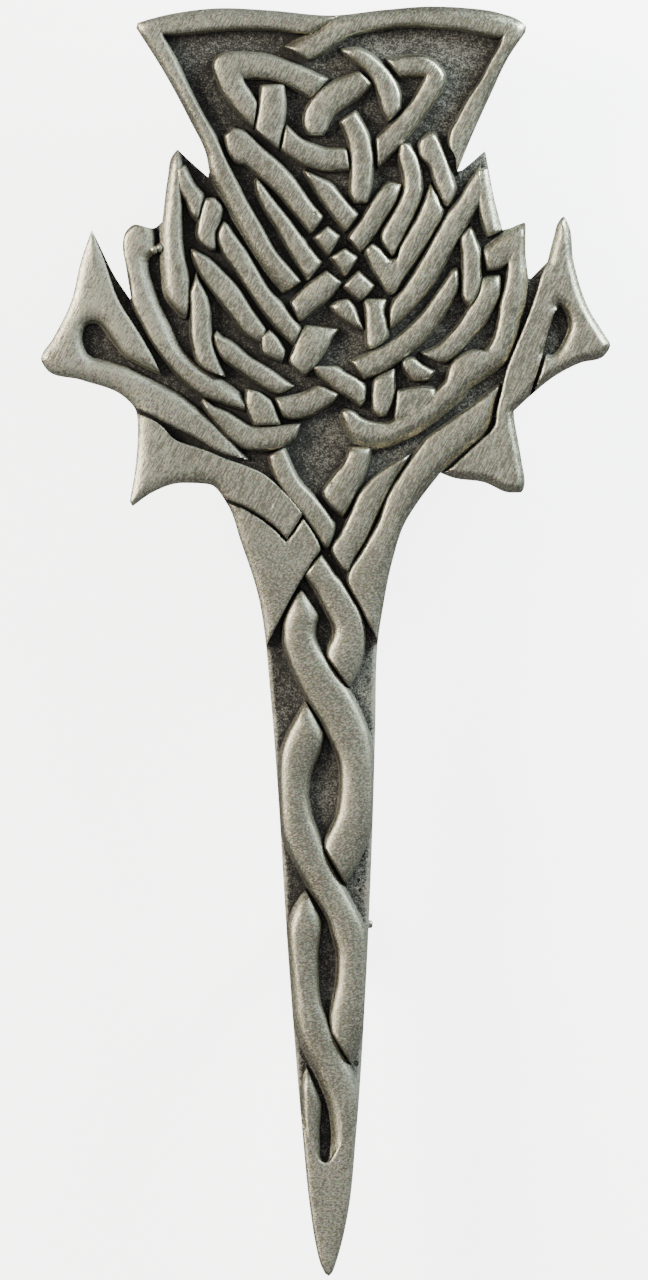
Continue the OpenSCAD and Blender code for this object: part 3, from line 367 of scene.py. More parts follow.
# A smooth run of numbers over distance, which never overshoots its stations
class Course:
    def __init__(self, knots, values):
        self.knots, self.values = knots, values
        gaps = [b - a for a, b in zip(knots, knots[1:])]
        rates = [(b - a) / gap for a, b, gap in zip(values, values[1:], gaps)]
        self.slopes = [rates[0]]
        for before, after, left, right in zip(rates, rates[1:], gaps, gaps[1:]):
            lean = (right * before + left * after) / (left + right)
            limit = 3 * min(abs(before), abs(after)) if before * after > 0 else 0
            self.slopes.append(math.copysign(min(abs(lean), limit), lean))
        self.slopes.append(rates[-1])

    def at(self, distance):
        distance = min(max(distance, self.knots[0]), self.knots[-1])
        i = 0
        while i < len(self.knots) - 2 and distance > self.knots[i + 1]:
            i += 1
        gap = self.knots[i + 1] - self.knots[i]
        t = (distance - self.knots[i]) / gap
        a, b = self.values[i], self.values[i + 1]
        m, n = self.slopes[i] * gap, self.slopes[i + 1] * gap
        return a + t * m + t * t * (3 * (b - a) - 2 * m - n) + t ** 3 * (2 * (a - b) + m + n)


# Distance along a run of points, at each of them
def runLengths(points, leastGap):
    knots = [0.0]
    for a, b in zip(points, points[1:]):
        knots.append(knots[-1] + max(math.dist(a, b), leastGap))
    return knots


def curveThrough(points, spacing):
    knots = runLengths(points, 0.01)
    courses = [Course(knots, [p[k] for p in points]) for k in range(len(points[0]))]
    spots = []
    for start, end in zip(knots, knots[1:]):
        steps = max(1, round((end - start) / spacing))
        spots += [start + (end - start) * s / steps for s in range(steps)]
    return [[course.at(spot) for course in courses] for spot in spots + [knots[-1]]]


# Distance from a run of points, positive on the side where the casting is
class Border:
    farSide = 2.5       # an open run counts as crossed only this near to it

    def __init__(self, line, closed=False):
        self.line, self.closed = line, closed
        self.tree = KDTree(len(line))
        for i, (x, y) in enumerate(line):
            self.tree.insert((x, y, 0), i)
        self.tree.balance()

    def distance(self, x, y):
        spot, i, gap = self.tree.find((x, y, 0))
        last = len(self.line) - 1
        if not self.closed and i in (0, last):
            return gap
        before, after = self.line[i - 1], self.line[(i + 1) % (last + 1)]
        side = (after[0] - before[0]) * (y - spot.y) - (after[1] - before[1]) * (x - spot.x)
        return -gap if side < 0 and (self.closed or gap < self.farSide) else gap


outline = []
for run in outlineRuns.values():
    stretch = curveThrough(run, casting["outlineStep"])
    if outline and math.dist(outline[-1], stretch[0]) < 0.01:
        stretch = stretch[1:]
    outline += stretch
if math.dist(outline[0], outline[-1]) < 0.01:
    outline.pop()
fineOutline = []
for a, b in zip(outline, outline[1:] + outline[:1]):
    fineOutline += curveThrough([a, b], casting["fineStep"])[:-1]
rim = Border(fineOutline, True)

# Each rounding of a raised edge: plan distance in from the edge, and share of the full height there
# Where the share is None, the rounding goes below the ground
roundings = {
    soft: [
        (-2.6, None), (-2.4, 0.12), (-1.6, 0.4), (-0.8, 0.66), (0, 0.82), (0.8, 0.92), (1.8, 0.975), (3.4, 1)
    ],
    wide: [(-2.6, None), (-2.5, 0.4), (-0.8, 0.55), (0.6, 0.68), (2.4, 0.8), (4.6, 0.9), (7, 0.965), (10, 1)],
    rolled: [
        (-3.4, None), (-3.2, 0.1), (-2, 0.36), (-1, 0.58), (0, 0.74), (1.2, 0.86), (3, 0.93), (5.5, 0.965),
        (9, 0.99), (13, 1)
    ],
    crested: [
        (-2.6, None), (-2.5, 0.3), (0, 0.42), (1.5, 0.6), (3, 0.76), (4.5, 0.87), (6, 0.94), (7.5, 0.98),
        (9.5, 1), (16, 0.985)
    ],
    broad: [
        (-2.6, None), (-2.5, 0.42), (-0.8, 0.56), (0.6, 0.67), (2.4, 0.77), (4.6, 0.85), (8, 0.915),
        (14, 0.97), (24, 1)
    ],
    dipping: [
        (-1.6, None), (-1.3, 0.1), (-0.2, 0.2), (1.5, 0.42), (3.2, 0.66), (5, 0.82), (7.5, 0.91),
        (11, 0.97), (16, 1)
    ],
    cut: [(-1.6, None), (-1.4, 0.3), (-0.6, 0.6), (0, 0.8), (0.6, 0.93), (1.4, 0.985), (3, 1)],
    fading: [(0, 0.2), (12, 0.6), (24, 0.86), (36, 0.97), (48, 1)],
    "end": [(-1.7, None), (-1.4, 0.15), (-0.7, 0.5), (0.1, 0.8), (0.9, 0.92), (2, 0.98), (3.5, 1)],
    "tuck": [(-1.3, None), (-1, 0.26), (-0.3, 0.5), (0.4, 0.64), (1.2, 0.72)],
}
# How much lower than its middle a ribbon's sides are, and how far its ends pass their last station
usualBand = {"bulge": 0.12, "reach": 0.8}
otherBands = {"twist": {"bulge": 0.18, "reach": 2.2}, "crown": {"bulge": 0.05, "reach": 0.8}}


def squeeze(shape, fit):
    return [(d * fit if d > 0 else d, share) for d, share in shape]


def sideColumns(rounding, width, other):
    shape = roundings[rounding]
    room = width * shape[-1][0] / (shape[-1][0] + roundings[other][-1][0])
    fit = min(1, casting["sideFill"] * room / shape[-1][0])
    return squeeze(shape, fit), fit


def endRows(tuck, length, reach):
    shape = [(d - reach, share) for d, share in roundings["end"]]
    if tuck:
        shape = roundings["tuck"] + [(0.5 * tuck, 0.9), (tuck, 1)]
    return squeeze(shape, min(1, casting["endFill"] * length / shape[-1][0]))


# A closed band over its stations, of which the underside lies below the ground
def layRibbon(name, row, bulge, reach):
    rise, startTuck, endTuck, sideA, sideB, *stations = row
    centres = [((s[0] + s[2]) / 2, (s[1] + s[3]) / 2) for s in stations]
    knots = runLengths(centres, casting["leastGap"])
    courses = [Course(knots, [s[k] for s in stations]) for k in range(4)]
    length = knots[-1]
    first, last = endRows(startTuck, length, reach), endRows(endTuck, length, reach)
    plain = length - first[-1][0] - last[-1][0]
    between = max(1, round(plain / casting["rowStep"]))
    rows = first + [(first[-1][0] + plain * i / between, 1) for i in range(1, between)]
    rows += [(length - d, share) for d, share in reversed(last)]
    onTop = casting["columnsOnTop"]
    columns = len(roundings[sideA]) + len(roundings[sideB]) + onTop
    shape = bmesh.new()
    made = bmesh.ops.create_grid(shape, x_segments=columns - 1, y_segments=len(rows) - 1, size=1)
    spots = {}
    for r, (distance, rowShare) in enumerate(rows):
        edge = [course.at(distance) for course in courses]
        ahead = Vector((0, 0))
        if distance < 0 or distance > length:
            near, far = (0, 1) if distance < 0 else (-1, -2)
            out = Vector(centres[near]) - Vector(centres[far])
            ahead = out.normalized() * (-distance if distance < 0 else distance - length)
        left, right = Vector(edge[:2]) + ahead, Vector(edge[2:]) + ahead
        width = max((right - left).length, casting["leastWidth"])
        across = (right - left) / width
        sideRun, fitA = sideColumns(sideA, width, sideB)
        otherRun, fitB = sideColumns(sideB, width, sideA)
        inner = width - sideRun[-1][0] - otherRun[-1][0]
        spread = sideRun + [(sideRun[-1][0] + inner * k / (onTop + 1), 1) for k in range(1, onTop + 1)]
        spread += [(width - d, share) for d, share in reversed(otherRun)]
        narrow = casting["narrowRise"] + (1 - casting["narrowRise"]) * min(1, (fitA + fitB) / 2)
        for c, (d, share) in enumerate(spread):
            spot = left + across * d
            if share is None or rowShare is None:
                height = casting["ground"] - casting["sink"]
            else:
                offCentre = min(max(2 * d / width - 1, -1), 1)
                height = share * rowShare * rise * narrow * (1 - bulge * offCentre ** 2)
                height = casting["ground"] + casting["relief"] * height
            spots[c, r] = place(spot.x, spot.y, height)
    for v in made["verts"]:
        c = round((v.co.x + 1) / 2 * (columns - 1))
        r = round((v.co.y + 1) / 2 * (len(rows) - 1))
        v.co = spots[c, r]
    bmesh.ops.holes_fill(shape, edges=[e for e in shape.edges if e.is_boundary])
    bmesh.ops.triangulate(shape, faces=[f for f in shape.faces if len(f.verts) > 4])
    bmesh.ops.recalc_face_normals(shape, faces=shape.faces)
    if shape.calc_volume(signed=True) < 0:
        bmesh.ops.reverse_faces(shape, faces=shape.faces)
    return makeObject(name, shape)


# What was just extruded moves to one height
def levelOff(made, height):
    for v in [g for g in made["geom"] if isinstance(g, bmesh.types.BMVert)]:
        v.co.z = height


# A sheet over a box of the plan, raised to the height that a function gives, with a flat underside
def layField(name, box, step, heightAt, low, keep=None):
    left, top, right, bottom = box
    shape = bmesh.new()
    bmesh.ops.create_grid(
        shape, x_segments=round((right - left) / step), y_segments=round((bottom - top) / step), size=1)
    for v in shape.verts:
        v.co = Vector((left + (v.co.x + 1) / 2 * (right - left), bottom - (v.co.y + 1) / 2 * (bottom - top), 0))
    if keep:
        beside = [f for f in shape.faces if not keep(f.calc_center_median())]
        bmesh.ops.delete(shape, geom=beside, context="FACES")
    for v in shape.verts:
        v.co = place(v.co.x, v.co.y, heightAt(v.co.x, v.co.y))
    levelOff(bmesh.ops.extrude_edge_only(shape, edges=[e for e in shape.edges if e.is_boundary]), low)
    bmesh.ops.holes_fill(shape, edges=[e for e in shape.edges if e.is_boundary])
    bmesh.ops.recalc_face_normals(shape, faces=shape.faces)
    return makeObject(name, shape)


# A straight-sided block of a closed plan, for cutting
def layBlock(name, line, low, high):
    shape = bmesh.new()
    base = shape.faces.new([shape.verts.new(place(x, y, low)) for x, y in line])
    levelOff(bmesh.ops.extrude_face_region(shape, geom=[base]), high)
    bmesh.ops.recalc_face_normals(shape, faces=shape.faces)
    return makeObject(name, shape)


def combine(piece, operation, other):
    made = piece.modifiers.new(operation.lower(), "BOOLEAN")
    made.operation, made.solver = operation, "MANIFOLD"
    if isinstance(other, bpy.types.Collection):
        made.operand_type, made.collection = "COLLECTION", other
    else:
        made.object = other


def settle(piece, helpers):
    mesh = bpy.data.meshes.new_from_object(piece.evaluated_get(bpy.context.evaluated_depsgraph_get()))
    piece.modifiers.clear()
    piece.data = mesh
    for helper in helpers:
        bpy.data.objects.remove(helper)


# The mesh of a finished helper, taken up for more work, and the helper gone
def takeUp(piece):
    shape = bmesh.new()
    shape.from_mesh(piece.data)
    bpy.data.objects.remove(piece)
    return shape


parts = bpy.data.collections.new("parts")
bpy.context.scene.collection.children.link(parts)


def putAside(piece):
    bpy.context.scene.collection.objects.unlink(piece)
    parts.objects.link(piece)


for group, rows in ribbons.items():
    for i, row in enumerate(rows):
        putAside(layRibbon(f"{group}{i}", row, **otherBands.get(group, usualBand)))

# Broad pads: the rounding at the outline, then the inner edges with theirs, clockwise
# An edge without a rounding runs outside the outline, which trims it
pads = {
    "leftLeaf": (1, broad,
        (rolled, (91.3, 226), (94.5, 236), (103, 257), (120, 303), (133, 323.5), (144, 341), (153, 357),
         (161, 374.5)),
        (dipping, (161, 376), (150.5, 372), (139.5, 367), (132.5, 363), (126, 359.5), (121, 355), (116, 348),
         (110.5, 340.5), (105, 333), (100, 326.5), (93.5, 323.3), (87, 325.5), (83.8, 331), (82.5, 338),
         (83.7, 345), (87, 352.5), (93, 357), (101, 359), (110, 361), (118, 363.5), (126, 365.5), (136, 370),
         (147, 375.8), (158, 381.7), (169, 387.5), (177, 391.5), (185, 397), (192, 402.5), (200, 408.5),
         (209, 415.5), (217, 422.5), (225, 431), (236, 442), (248, 456.5)),
        (soft, (248, 459.5), (238, 457.7), (226, 454.8), (214, 449.5), (203, 442.8), (192, 436.3), (181, 431),
         (169.5, 425.2), (160.5, 420.6), (152.5, 416), (143, 411.5), (137.5, 408.5)),
        (None, (131, 406.5), (122, 399.5), (80, 384), (43, 372), (37, 359), (50, 336), (67.5, 301), (78, 260),
         (89, 224))),
    "leftPoint": (0.97, broad,
        (cut, (134, 412.5), (145, 416), (156, 421.5), (164, 428), (169, 434), (175, 439.5), (186, 444),
         (198, 447.5), (210, 451.7), (222, 457), (235, 462), (249, 467), (262, 473), (273, 481), (284, 491.5),
         (294, 502), (303, 514)),
        (soft, (303, 514), (298, 522), (292, 531.5), (286.6, 539.3)),
        (soft, (286.6, 539.3), (278.2, 530), (270.4, 523.3), (261.6, 516.9), (252.7, 511.2), (242.7, 505.8),
         (231.6, 501.2), (223, 498)),
        (None, (220, 500), (208, 488.5), (182, 487), (154, 496), (128, 510), (125.5, 502), (131.5, 465),
         (133.5, 430), (131, 412))),
    "leftShield": (0.93, broad,
        (cut, (224, 501), (231.5, 504), (242.5, 508.5), (252.5, 513.8), (261.4, 519.6), (270, 526),
         (277.8, 533), (285.8, 542)),
        (soft, (285.8, 542), (292.7, 534), (298.5, 525.5), (303.3, 518)),
        (soft, (303.3, 518), (311, 529), (316.7, 538.5), (320.5, 548.5), (312.3, 561.3), (304.8, 573.8),
         (294.8, 590.8), (285.2, 608.6), (276.7, 625), (268.5, 641.5), (263, 652.5)),
        (None, (257, 652), (252, 590), (237, 544), (222, 503))),
    "rightLeaf": (0.97, crested,
        (None, (563, 212), (570, 220), (577, 260), (592, 307), (607.5, 332.5), (614, 346), (606, 358.5),
         (581, 366.5), (558, 378.5), (536.5, 396.5)),
        (soft, (532.8, 393.5), (536.3, 385), (540.3, 374), (544, 362), (546.5, 354)),
        (dipping, (546.5, 354), (552, 354.5), (558, 349.5), (562, 342.5), (566, 334), (568, 325), (566.5, 317),
         (563, 310.5), (559.8, 306.5)),
        (soft, (559.8, 306.5), (555, 312.5), (551.5, 321.5), (548, 332), (545.5, 342), (543, 352), (540.5, 362),
         (536.8, 374), (532.7, 385.5), (530, 394.5)),
        (None, (532, 399), (518, 414), (524.5, 461), (528, 483), (523, 496), (510, 496), (484, 486), (452, 481),
         (438, 478)),
        (soft, (438, 475), (447.5, 470.5), (457, 462), (465, 455), (472, 448.5), (480, 441), (486, 436),
         (490, 432.5)),
        (soft, (490, 432.5), (494.3, 426), (496.7, 411), (500, 397), (507, 368), (515.5, 347), (524, 326.5),
         (530.5, 309.5), (536.5, 292), (541, 277), (549, 257.5)),
        (None, (546, 254), (551.5, 234), (555.5, 219.5))),
    "tip": (1, rolled,
        (soft, (316.5, 1106), (316, 1121), (315.3, 1132), (315.6, 1143), (317, 1153), (320.5, 1160),
         (325, 1162.6), (329.5, 1160.4), (333.5, 1154), (337.5, 1146), (339.5, 1136.5), (338.5, 1123),
         (336, 1111)),
        (fading, (336, 1106), (348, 1106), (362, 1106)),
        (None, (362, 1136), (353, 1213), (345, 1248), (329, 1281), (311, 1246), (305, 1211), (297, 1130)),
        (fading, (296, 1106), (306, 1106), (315, 1106))),
}


def shareCourse(rounding):
    known = [pair for pair in roundings[rounding] if pair[1] is not None]
    return Course([d for d, share in known], [share for d, share in known])


# A pad is as high as the lowest of its edges' roundings allows
def layPad(name, rise, rimRounding, edges):
    guides = [(rim, shareCourse(rimRounding))]
    plan = []
    for rounding, *points in edges:
        line = curveThrough(points, casting["fineStep"]) if rounding else points
        if rounding:
            guides.append((Border(line), shareCourse(rounding)))
        plan += [spot for spot in line if not plan or math.dist(plan[-1], spot) > 0.5]

    def heightAt(x, y):
        share = min(course.at(guide.distance(x, y)) for guide, course in guides)
        return casting["ground"] + casting["relief"] * rise * share

    wider = casting["padMargin"]
    box = (min(x for x, y in plan) - wider, min(y for x, y in plan) - wider,
           max(x for x, y in plan) + wider, max(y for x, y in plan) + wider)
    pad = layField(name, box, casting["padStep"], heightAt, casting["ground"] - 2 * casting["sink"])
    block = layBlock(name + "Block", plan, casting["ground"] - casting["sink"], clearOfRelief)
    combine(pad, "INTERSECT", block)
    settle(pad, [block])
    return pad


clearOfRelief = casting["ground"] + 2 * casting["relief"]
for name, (rise, rimRounding, *edges) in pads.items():
    putAside(layPad(name, rise, rimRounding, edges))
print("pads laid:", len(pads))

# Casting flaws: x, y, half width, half height, turn in degrees and share of the relief where the middle sits
flaws = {
    "raised": [(154, 250, 4.4, 4.6, 0, 0.62), (159.5, 248, 3.6, 4.6, 15, 0.66)],
    "sunk": [
        (315.5, 213, 2.8, 2.2, 40, 1), (331.7, 484, 2.4, 3.2, 30, 1.02), (272.5, 505.5, 1.1, 4.6, -12, 1),
        (356, 1063.5, 2.6, 3.2, 25, 0), (363, 854, 1.8, 3, -15, 0), (358.5, 880.5, 1.6, 2.4, -20, 0),
        (360, 890.5, 1.6, 2.6, -20, 0)
    ],
}


def layFlaws(name, spots):
    shape = bmesh.new()
    for x, y, halfWidth, halfHeight, turn, level in spots:
        put = Matrix.Translation(place(x, y, casting["ground"] + casting["relief"] * level))
        put = put @ Matrix.Rotation(math.radians(turn), 4, "Z")
        put = put @ Matrix.Diagonal((halfWidth * unit, halfHeight * unit, min(halfWidth, halfHeight) * unit, 1))
        bmesh.ops.create_icosphere(shape, subdivisions=2, radius=1, matrix=put)
    return makeObject(name, shape)


# The ground between the ribbons is gritty and falls a little towards the rim
def groundHeight(x, y):
    spot = Vector((x, y, 0))
    coarse = noise.noise(spot * casting["coarseGrain"] + Vector((7, 3, 1)))
    grit = noise.noise(spot * casting["fineGrain"]) + casting["coarseShare"] * coarse
    fall = max(0, 1 - max(0, rim.distance(x, y)) / casting["lipWidth"])
    return casting["ground"] + casting["grit"] * grit - casting["lipFall"] * fall ** 2


def underCasting(spot):
    return spot.y < plan["headEnd"] or abs(spot.x - plan["bladeMiddle"]) < plan["bladeRoom"]


margin = plan["margin"]
groundBox = (plan["left"] - margin, plan["top"] - margin, plan["right"] + margin, plan["bottom"] + margin)
ground = layField(
    "ground", groundBox, casting["groundStep"], groundHeight, casting["back"] - casting["spare"], underCasting)
print("ground made:", len(ground.data.polygons))
cutter = layBlock("cutter", outline, casting["back"], clearOfRelief)
putAside(layFlaws("nubs", flaws["raised"]))
pits = layFlaws("pits", flaws["sunk"])
combine(ground, "UNION", parts)
combine(ground, "INTERSECT", cutter)
combine(ground, "DIFFERENCE", pits)
settle(ground, list(parts.objects) + [cutter, pits])
print("joined:", len(ground.data.polygons), "faces")


# Two faces that would both be cut along the same line: one gets a middle point instead
def pokeShared(shape):
    trial = shape.copy()
    bmesh.ops.triangulate(trial, faces=trial.faces)
    shared = [[v.index for v in e.verts] for e in trial.edges if len(e.link_faces) > 2]
    trial.free()
    shape.verts.ensure_lookup_table()
    shape.faces.index_update()
    centres = set()
    for a, b in shared:
        both = [f for f in shape.verts[a].link_faces if shape.verts[b] in f.verts and len(f.verts) > 3]
        centres.add(min(both, key=lambda f: (len(f.verts), f.index)))
    bmesh.ops.poke(shape, faces=sorted(centres, key=lambda f: f.index))


def markSharp(shape):
    for f in shape.faces:
        f.smooth = True
    for e in shape.edges:
        e.smooth = len(e.link_faces) == 2 and e.calc_face_angle(0) < math.radians(casting["sharpAngle"])


def reportShape(name, shape):
    openEdges = sum(1 for e in shape.edges if not e.is_manifold)
    volume = shape.calc_volume() * 1e9
    print(name, "has open edges:", openEdges, "faces:", len(shape.faces), "volume in mm3:", round(volume, 1))


shape = takeUp(ground)
pokeShared(shape)
bmesh.ops.triangulate(shape, faces=shape.faces)
markSharp(shape)
reportShape("plaque", shape)

# Slight unevenness of hand-finished metal
for v in shape.verts:
    if v.co.z > casting["ground"] + casting["wavyFrom"] * casting["relief"]:
        v.co.z += casting["waviness"] * noise.noise(v.co / casting["waveLength"])

# What the pewter's finish reads from the shape: dirt kept in corners, the rubbed rim, and painted shade on
# slopes that face right
wearAndShade = {
    "rays": 18, "rayStart": 0.00002,
    "reach": 0.0011,        # how far away a neighbour still keeps dirt in a corner
    "fade": 0.6,            # how much less a neighbour at that reach counts
    "rimWidth": 6,          # of the rubbed rim, in the plan's units
    "headFade": 0.012,      # half the width over which the head's painted shade ends, about its middle
    "bladeShade": 0.45, "pointShade": 0.85, "pointTop": -0.032,
    "shadeSide": (0.8, 0.6), "shadeGain": 2.8, "shadeStart": 0.1,
}


def clamp(value):
    return min(1, max(0, value))


# An even fan of directions over the upper half of a sphere
def rayFan(count):
    fan = []
    for i in range(count):
        lift = math.sqrt(1 - (i + 0.5) / count)
        flat = math.sqrt(1 - lift * lift)
        turn = i * math.pi * (3 - math.sqrt(5))
        fan.append(Vector((math.cos(turn) * flat, math.sin(turn) * flat, lift)))
    return fan


# From 0 in the open to 1 in a crevice
def closeness(v, tree, fan):
    turnTo = v.normal.to_track_quat("Z", "Y")
    start = v.co + v.normal * wearAndShade["rayStart"]
    hits = 0
    for ray in fan:
        hit = tree.ray_cast(start, turnTo @ ray, wearAndShade["reach"])
        if hit[0] is not None:
            hits += 1 - hit[3] / wearAndShade["reach"] * wearAndShade["fade"]
    return hits / len(fan)


# Painted shade: the raised metal is darkened on the slopes that face up and to the right, towards the upper
# right lamp, on the head's left half and on the blade
def paintedShadeAt(v):
    amount = wearAndShade["bladeShade"] if v.co.y > wearAndShade["pointTop"] else wearAndShade["pointShade"]
    if v.co.y > 0:
        amount = clamp(0.5 - v.co.x / wearAndShade["headFade"])
    x, y = wearAndShade["shadeSide"]
    return amount * clamp(wearAndShade["shadeGain"] * (x * v.normal.x + y * v.normal.y) - wearAndShade["shadeStart"])


shape.normal_update()
tree = BVHTree.FromBMesh(shape)
fan = rayFan(wearAndShade["rays"])
shutInLayer, nearRimLayer, paintedShadeLayer = [
    shape.verts.layers.float.new(name) for name in ("shutIn", "nearRim", "paintedShade")]
for v in shape.verts:
    v[shutInLayer] = closeness(v, tree, fan)
    fromRim = rim.distance(planMiddle[0] + v.co.x / unit, planMiddle[1] - v.co.y / unit)
    v[nearRimLayer] = clamp(1 - fromRim / wearAndShade["rimWidth"])
    v[paintedShadeLayer] = paintedShadeAt(v)
plaque = makeObject("plaque_front", shape)
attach(plaque, "root")
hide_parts("thistle_plaque")
print("plaque finished")

# The plain fitting behind the plaque, in millimetres
fittingPlan = {
    # Blocks: middle x, middle y, underside, width, length, height and rounding of the edges
    "blocks": {
        "hinge": (0.11, 32.57, 0, 5, 3.6, 5.9, 0.35),
        "hingePad": (0.11, 32.57, 5.35, 5.8, 5.2, 0.9, 0.2),
        "catchFloor": (0.15, -21.3, 0, 5, 3.2, 1.2, 0.2),
        "catchWall": (-1.9, -21.3, 0, 0.9, 3.2, 5.9, 0.25),
        "catchLip": (2.2, -21.3, 0, 0.9, 3.2, 1.7, 0.25),
        "catchPad": (0.15, -21.3, 5.35, 5.8, 4.8, 0.9, 0.2),
    },
    # Rods: start, direction, the two radii, length and rounding of the ends
    "rods": {
        "stem": ((0.15, 32.57, 1.2), (0, -1, 0), 0.7, 0.7, 56.1, 0.02),
        "point": ((0.15, -23.5, 1.2), (0, -1, 0), 0.7, 0.14, 2.17, 0.06),
        "lever": ((2.2, -21.3, 1.1), (1, 0, 0), 0.3, 0.3, 1.35, 0.16),
        "hingeAxle": ((-2.45, 32.57, 2.6), (1, 0, 0), 0.9, 0.9, 5.12, 0.15),
    },
    "roundedFrom": 40,      # an edge that turns by more degrees than this is rounded
    "roundingSteps": 3, "rodSides": 40,
    "closest": 0.001,       # points nearer to each other than this are one
}
mm = 0.001


def roundOff(shape, offset):
    sharp = [e for e in shape.edges if e.calc_face_angle() > math.radians(fittingPlan["roundedFrom"])]
    bmesh.ops.bevel(
        shape, geom=sharp, offset=offset * mm, affect="EDGES", segments=fittingPlan["roundingSteps"],
        profile=0.5, material=-1)


for name, (x, y, low, width, length, height, rounding) in fittingPlan["blocks"].items():
    shape = bmesh.new()
    middle = Matrix.Translation(Vector((x, y, low + height / 2)) * mm)
    bmesh.ops.create_cube(shape, size=mm, matrix=middle @ Matrix.Diagonal((width, length, height, 1)))
    roundOff(shape, rounding)
    putAside(makeObject(name, shape))
for name, (start, direction, radius, endRadius, length, rounding) in fittingPlan["rods"].items():
    shape = bmesh.new()
    way = Vector(direction)
    middle = Matrix.Translation((Vector(start) + way * length / 2) * mm)
    bmesh.ops.create_cone(
        shape, cap_ends=True, segments=fittingPlan["rodSides"], radius1=radius * mm, radius2=endRadius * mm,
        depth=length * mm, matrix=middle @ way.to_track_quat("Z", "Y").to_matrix().to_4x4())
    roundOff(shape, rounding)
    putAside(makeObject(name, shape))

fitting = bpy.data.objects[next(iter(fittingPlan["blocks"]))]
parts.objects.unlink(fitting)
bpy.context.scene.collection.objects.link(fitting)
combine(fitting, "UNION", parts)
settle(fitting, list(parts.objects))
bpy.data.collections.remove(parts)
shape = takeUp(fitting)
bmesh.ops.dissolve_degenerate(shape, edges=shape.edges, dist=fittingPlan["closest"] * mm)
markSharp(shape)
reportShape("fitting", shape)
fitting = makeObject("back_fitting", shape)
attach(fitting, "root")
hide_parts("pin_fitting")
print("fitting finished")


# One value of a material, on which arithmetic adds the maths that it needs
class Value:
    def __init__(self, finish, socket):
        self.finish, self.socket = finish, socket

    def math(self, operation, *values):
        return self.finish.node("ShaderNodeMath", {"operation": operation}, dict(enumerate(values)))

    def __add__(self, other):
        return self.math("ADD", self, other)

    def __radd__(self, other):
        return self.math("ADD", other, self)

    def __sub__(self, other):
        return self.math("SUBTRACT", self, other)

    def __rsub__(self, other):
        return self.math("SUBTRACT", other, self)

    def __mul__(self, other):
        return self.math("MULTIPLY", self, other)

    def __rmul__(self, other):
        return self.math("MULTIPLY", other, self)

    def between(self, low, high):
        return self.finish.node("ShaderNodeMapRange", {"interpolation_type": "SMOOTHSTEP", "clamp": True},
                                {"Value": self, "From Min": low, "From Max": high})

    # A noise as light and dark about nothing
    def swing(self, amount):
        return (self - 0.5) * amount


class Finish:
    def __init__(self, name, settings):
        self.material = bpy.data.materials.new(name)
        self.material.use_nodes = True
        self.nodes, self.links = self.material.node_tree.nodes, self.material.node_tree.links
        self.surface = self.nodes["Principled BSDF"]
        for key, value in settings.items():
            self.surface.inputs[key].default_value = value
        self.spot = self.node("ShaderNodeTexCoord", {}, {}, "Object")

    def node(self, kind, settings, inputs, output=0):
        made = self.nodes.new(kind)
        for key, value in settings.items():
            setattr(made, key, value)
        for key, value in inputs.items():
            self.feed(made.inputs[key], value)
        return Value(self, made.outputs[output])

    def feed(self, socket, value):
        if isinstance(value, Value):
            self.links.new(value.socket, socket)
        elif socket.type == "RGBA":
            socket.default_value = (*value, 1)
        else:
            socket.default_value = value

    def give(self, name, value):
        self.feed(self.surface.inputs[name], value)

    def axis(self, name):
        return self.node("ShaderNodeSeparateXYZ", {}, {"Vector": self.spot}, name)

    def fromShape(self, name):
        return self.node("ShaderNodeAttribute", {"attribute_name": name}, {}, "Fac")

    # Noise whose grains are stretched along a direction, turned by degrees from the x axis
    def grain(self, size, detail=2.0, roughness=0.5, turn=0.0, stretch=(1, 1, 1), output="Fac"):
        spot = self.node("ShaderNodeMapping", {"vector_type": "TEXTURE"}, {
            "Vector": self.spot, "Rotation": (0, 0, math.radians(turn)),
            "Scale": tuple(size * s for s in stretch)})
        inputs = {"Vector": spot, "Scale": 1.0, "Detail": detail, "Roughness": roughness}
        return self.node("ShaderNodeTexNoise", {}, inputs, output)

    def blend(self, amount, first, second, way="MIX"):
        return self.node(
            "ShaderNodeMix", {"data_type": "RGBA", "blend_type": way}, {0: amount, 6: first, 7: second}, 2)


pewterLook = {
    "bright": (0.55, 0.535, 0.43), "dull": (0.205, 0.198, 0.158),
    "dirt": (0.016, 0.015, 0.014), "rubbedDirt": (0.33, 0.325, 0.285),
    # Noises: size of a grain in metres, detail and roughness, then turn and stretch
    "clouds": (0.0035, 3.0, 0.55), "speckle": (0.00016, 3.0, 0.65), "tints": (0.00013, 2.0, 0.6),
    "dust": (0.00012, 2.0, 0.6), "crumbs": (0.00032, 3.0, 0.6),
    "brushed": (0.00009, 2.0, 0.6, 63, (8, 1, 1)), "short": (0.00009, 2.0, 0.6, 18, (2.5, 1, 1)),
    # Where a change over the pin begins and where it is complete, in metres
    "rightSide": (-0.006, 0.006), "leftLeaf": (-0.009, -0.015), "point": (-0.034, -0.042),
    "blade": (0.001, -0.003), "head": (0.002, 0.012), "crownSide": (0.0025, 0.0004),
    # How much each thing lightens the raised metal, the glow there being painted light, and then the ground
    "metal": {"base": 0.36, "glow": 0.3, "scratches": 3.0, "speckle": 2.2, "clouds": 0.7},
    "ground": {
        "base": 0.2, "blade": 0.04, "shutIn": 0.65, "dust": 2.2, "crumbs": 1.1, "clouds": 0.8, "rim": 0.6,
        "right": 0.18, "bladeRight": 0.13
    },
    "shadeHides": 0.6, "tinting": 0.5,
    "bumpStrength": 0.7, "bumpDepth": 0.00005,
}
pewter = Finish("antiqued_pewter", {"Metallic": 1.0, "Specular IOR Level": 0.5})
clouds, speckle, dust, crumbs, brushed, short = [
    pewter.grain(*pewterLook[name]) for name in ("clouds", "speckle", "dust", "crumbs", "brushed", "short")]
tints = pewter.grain(*pewterLook["tints"], output="Color")
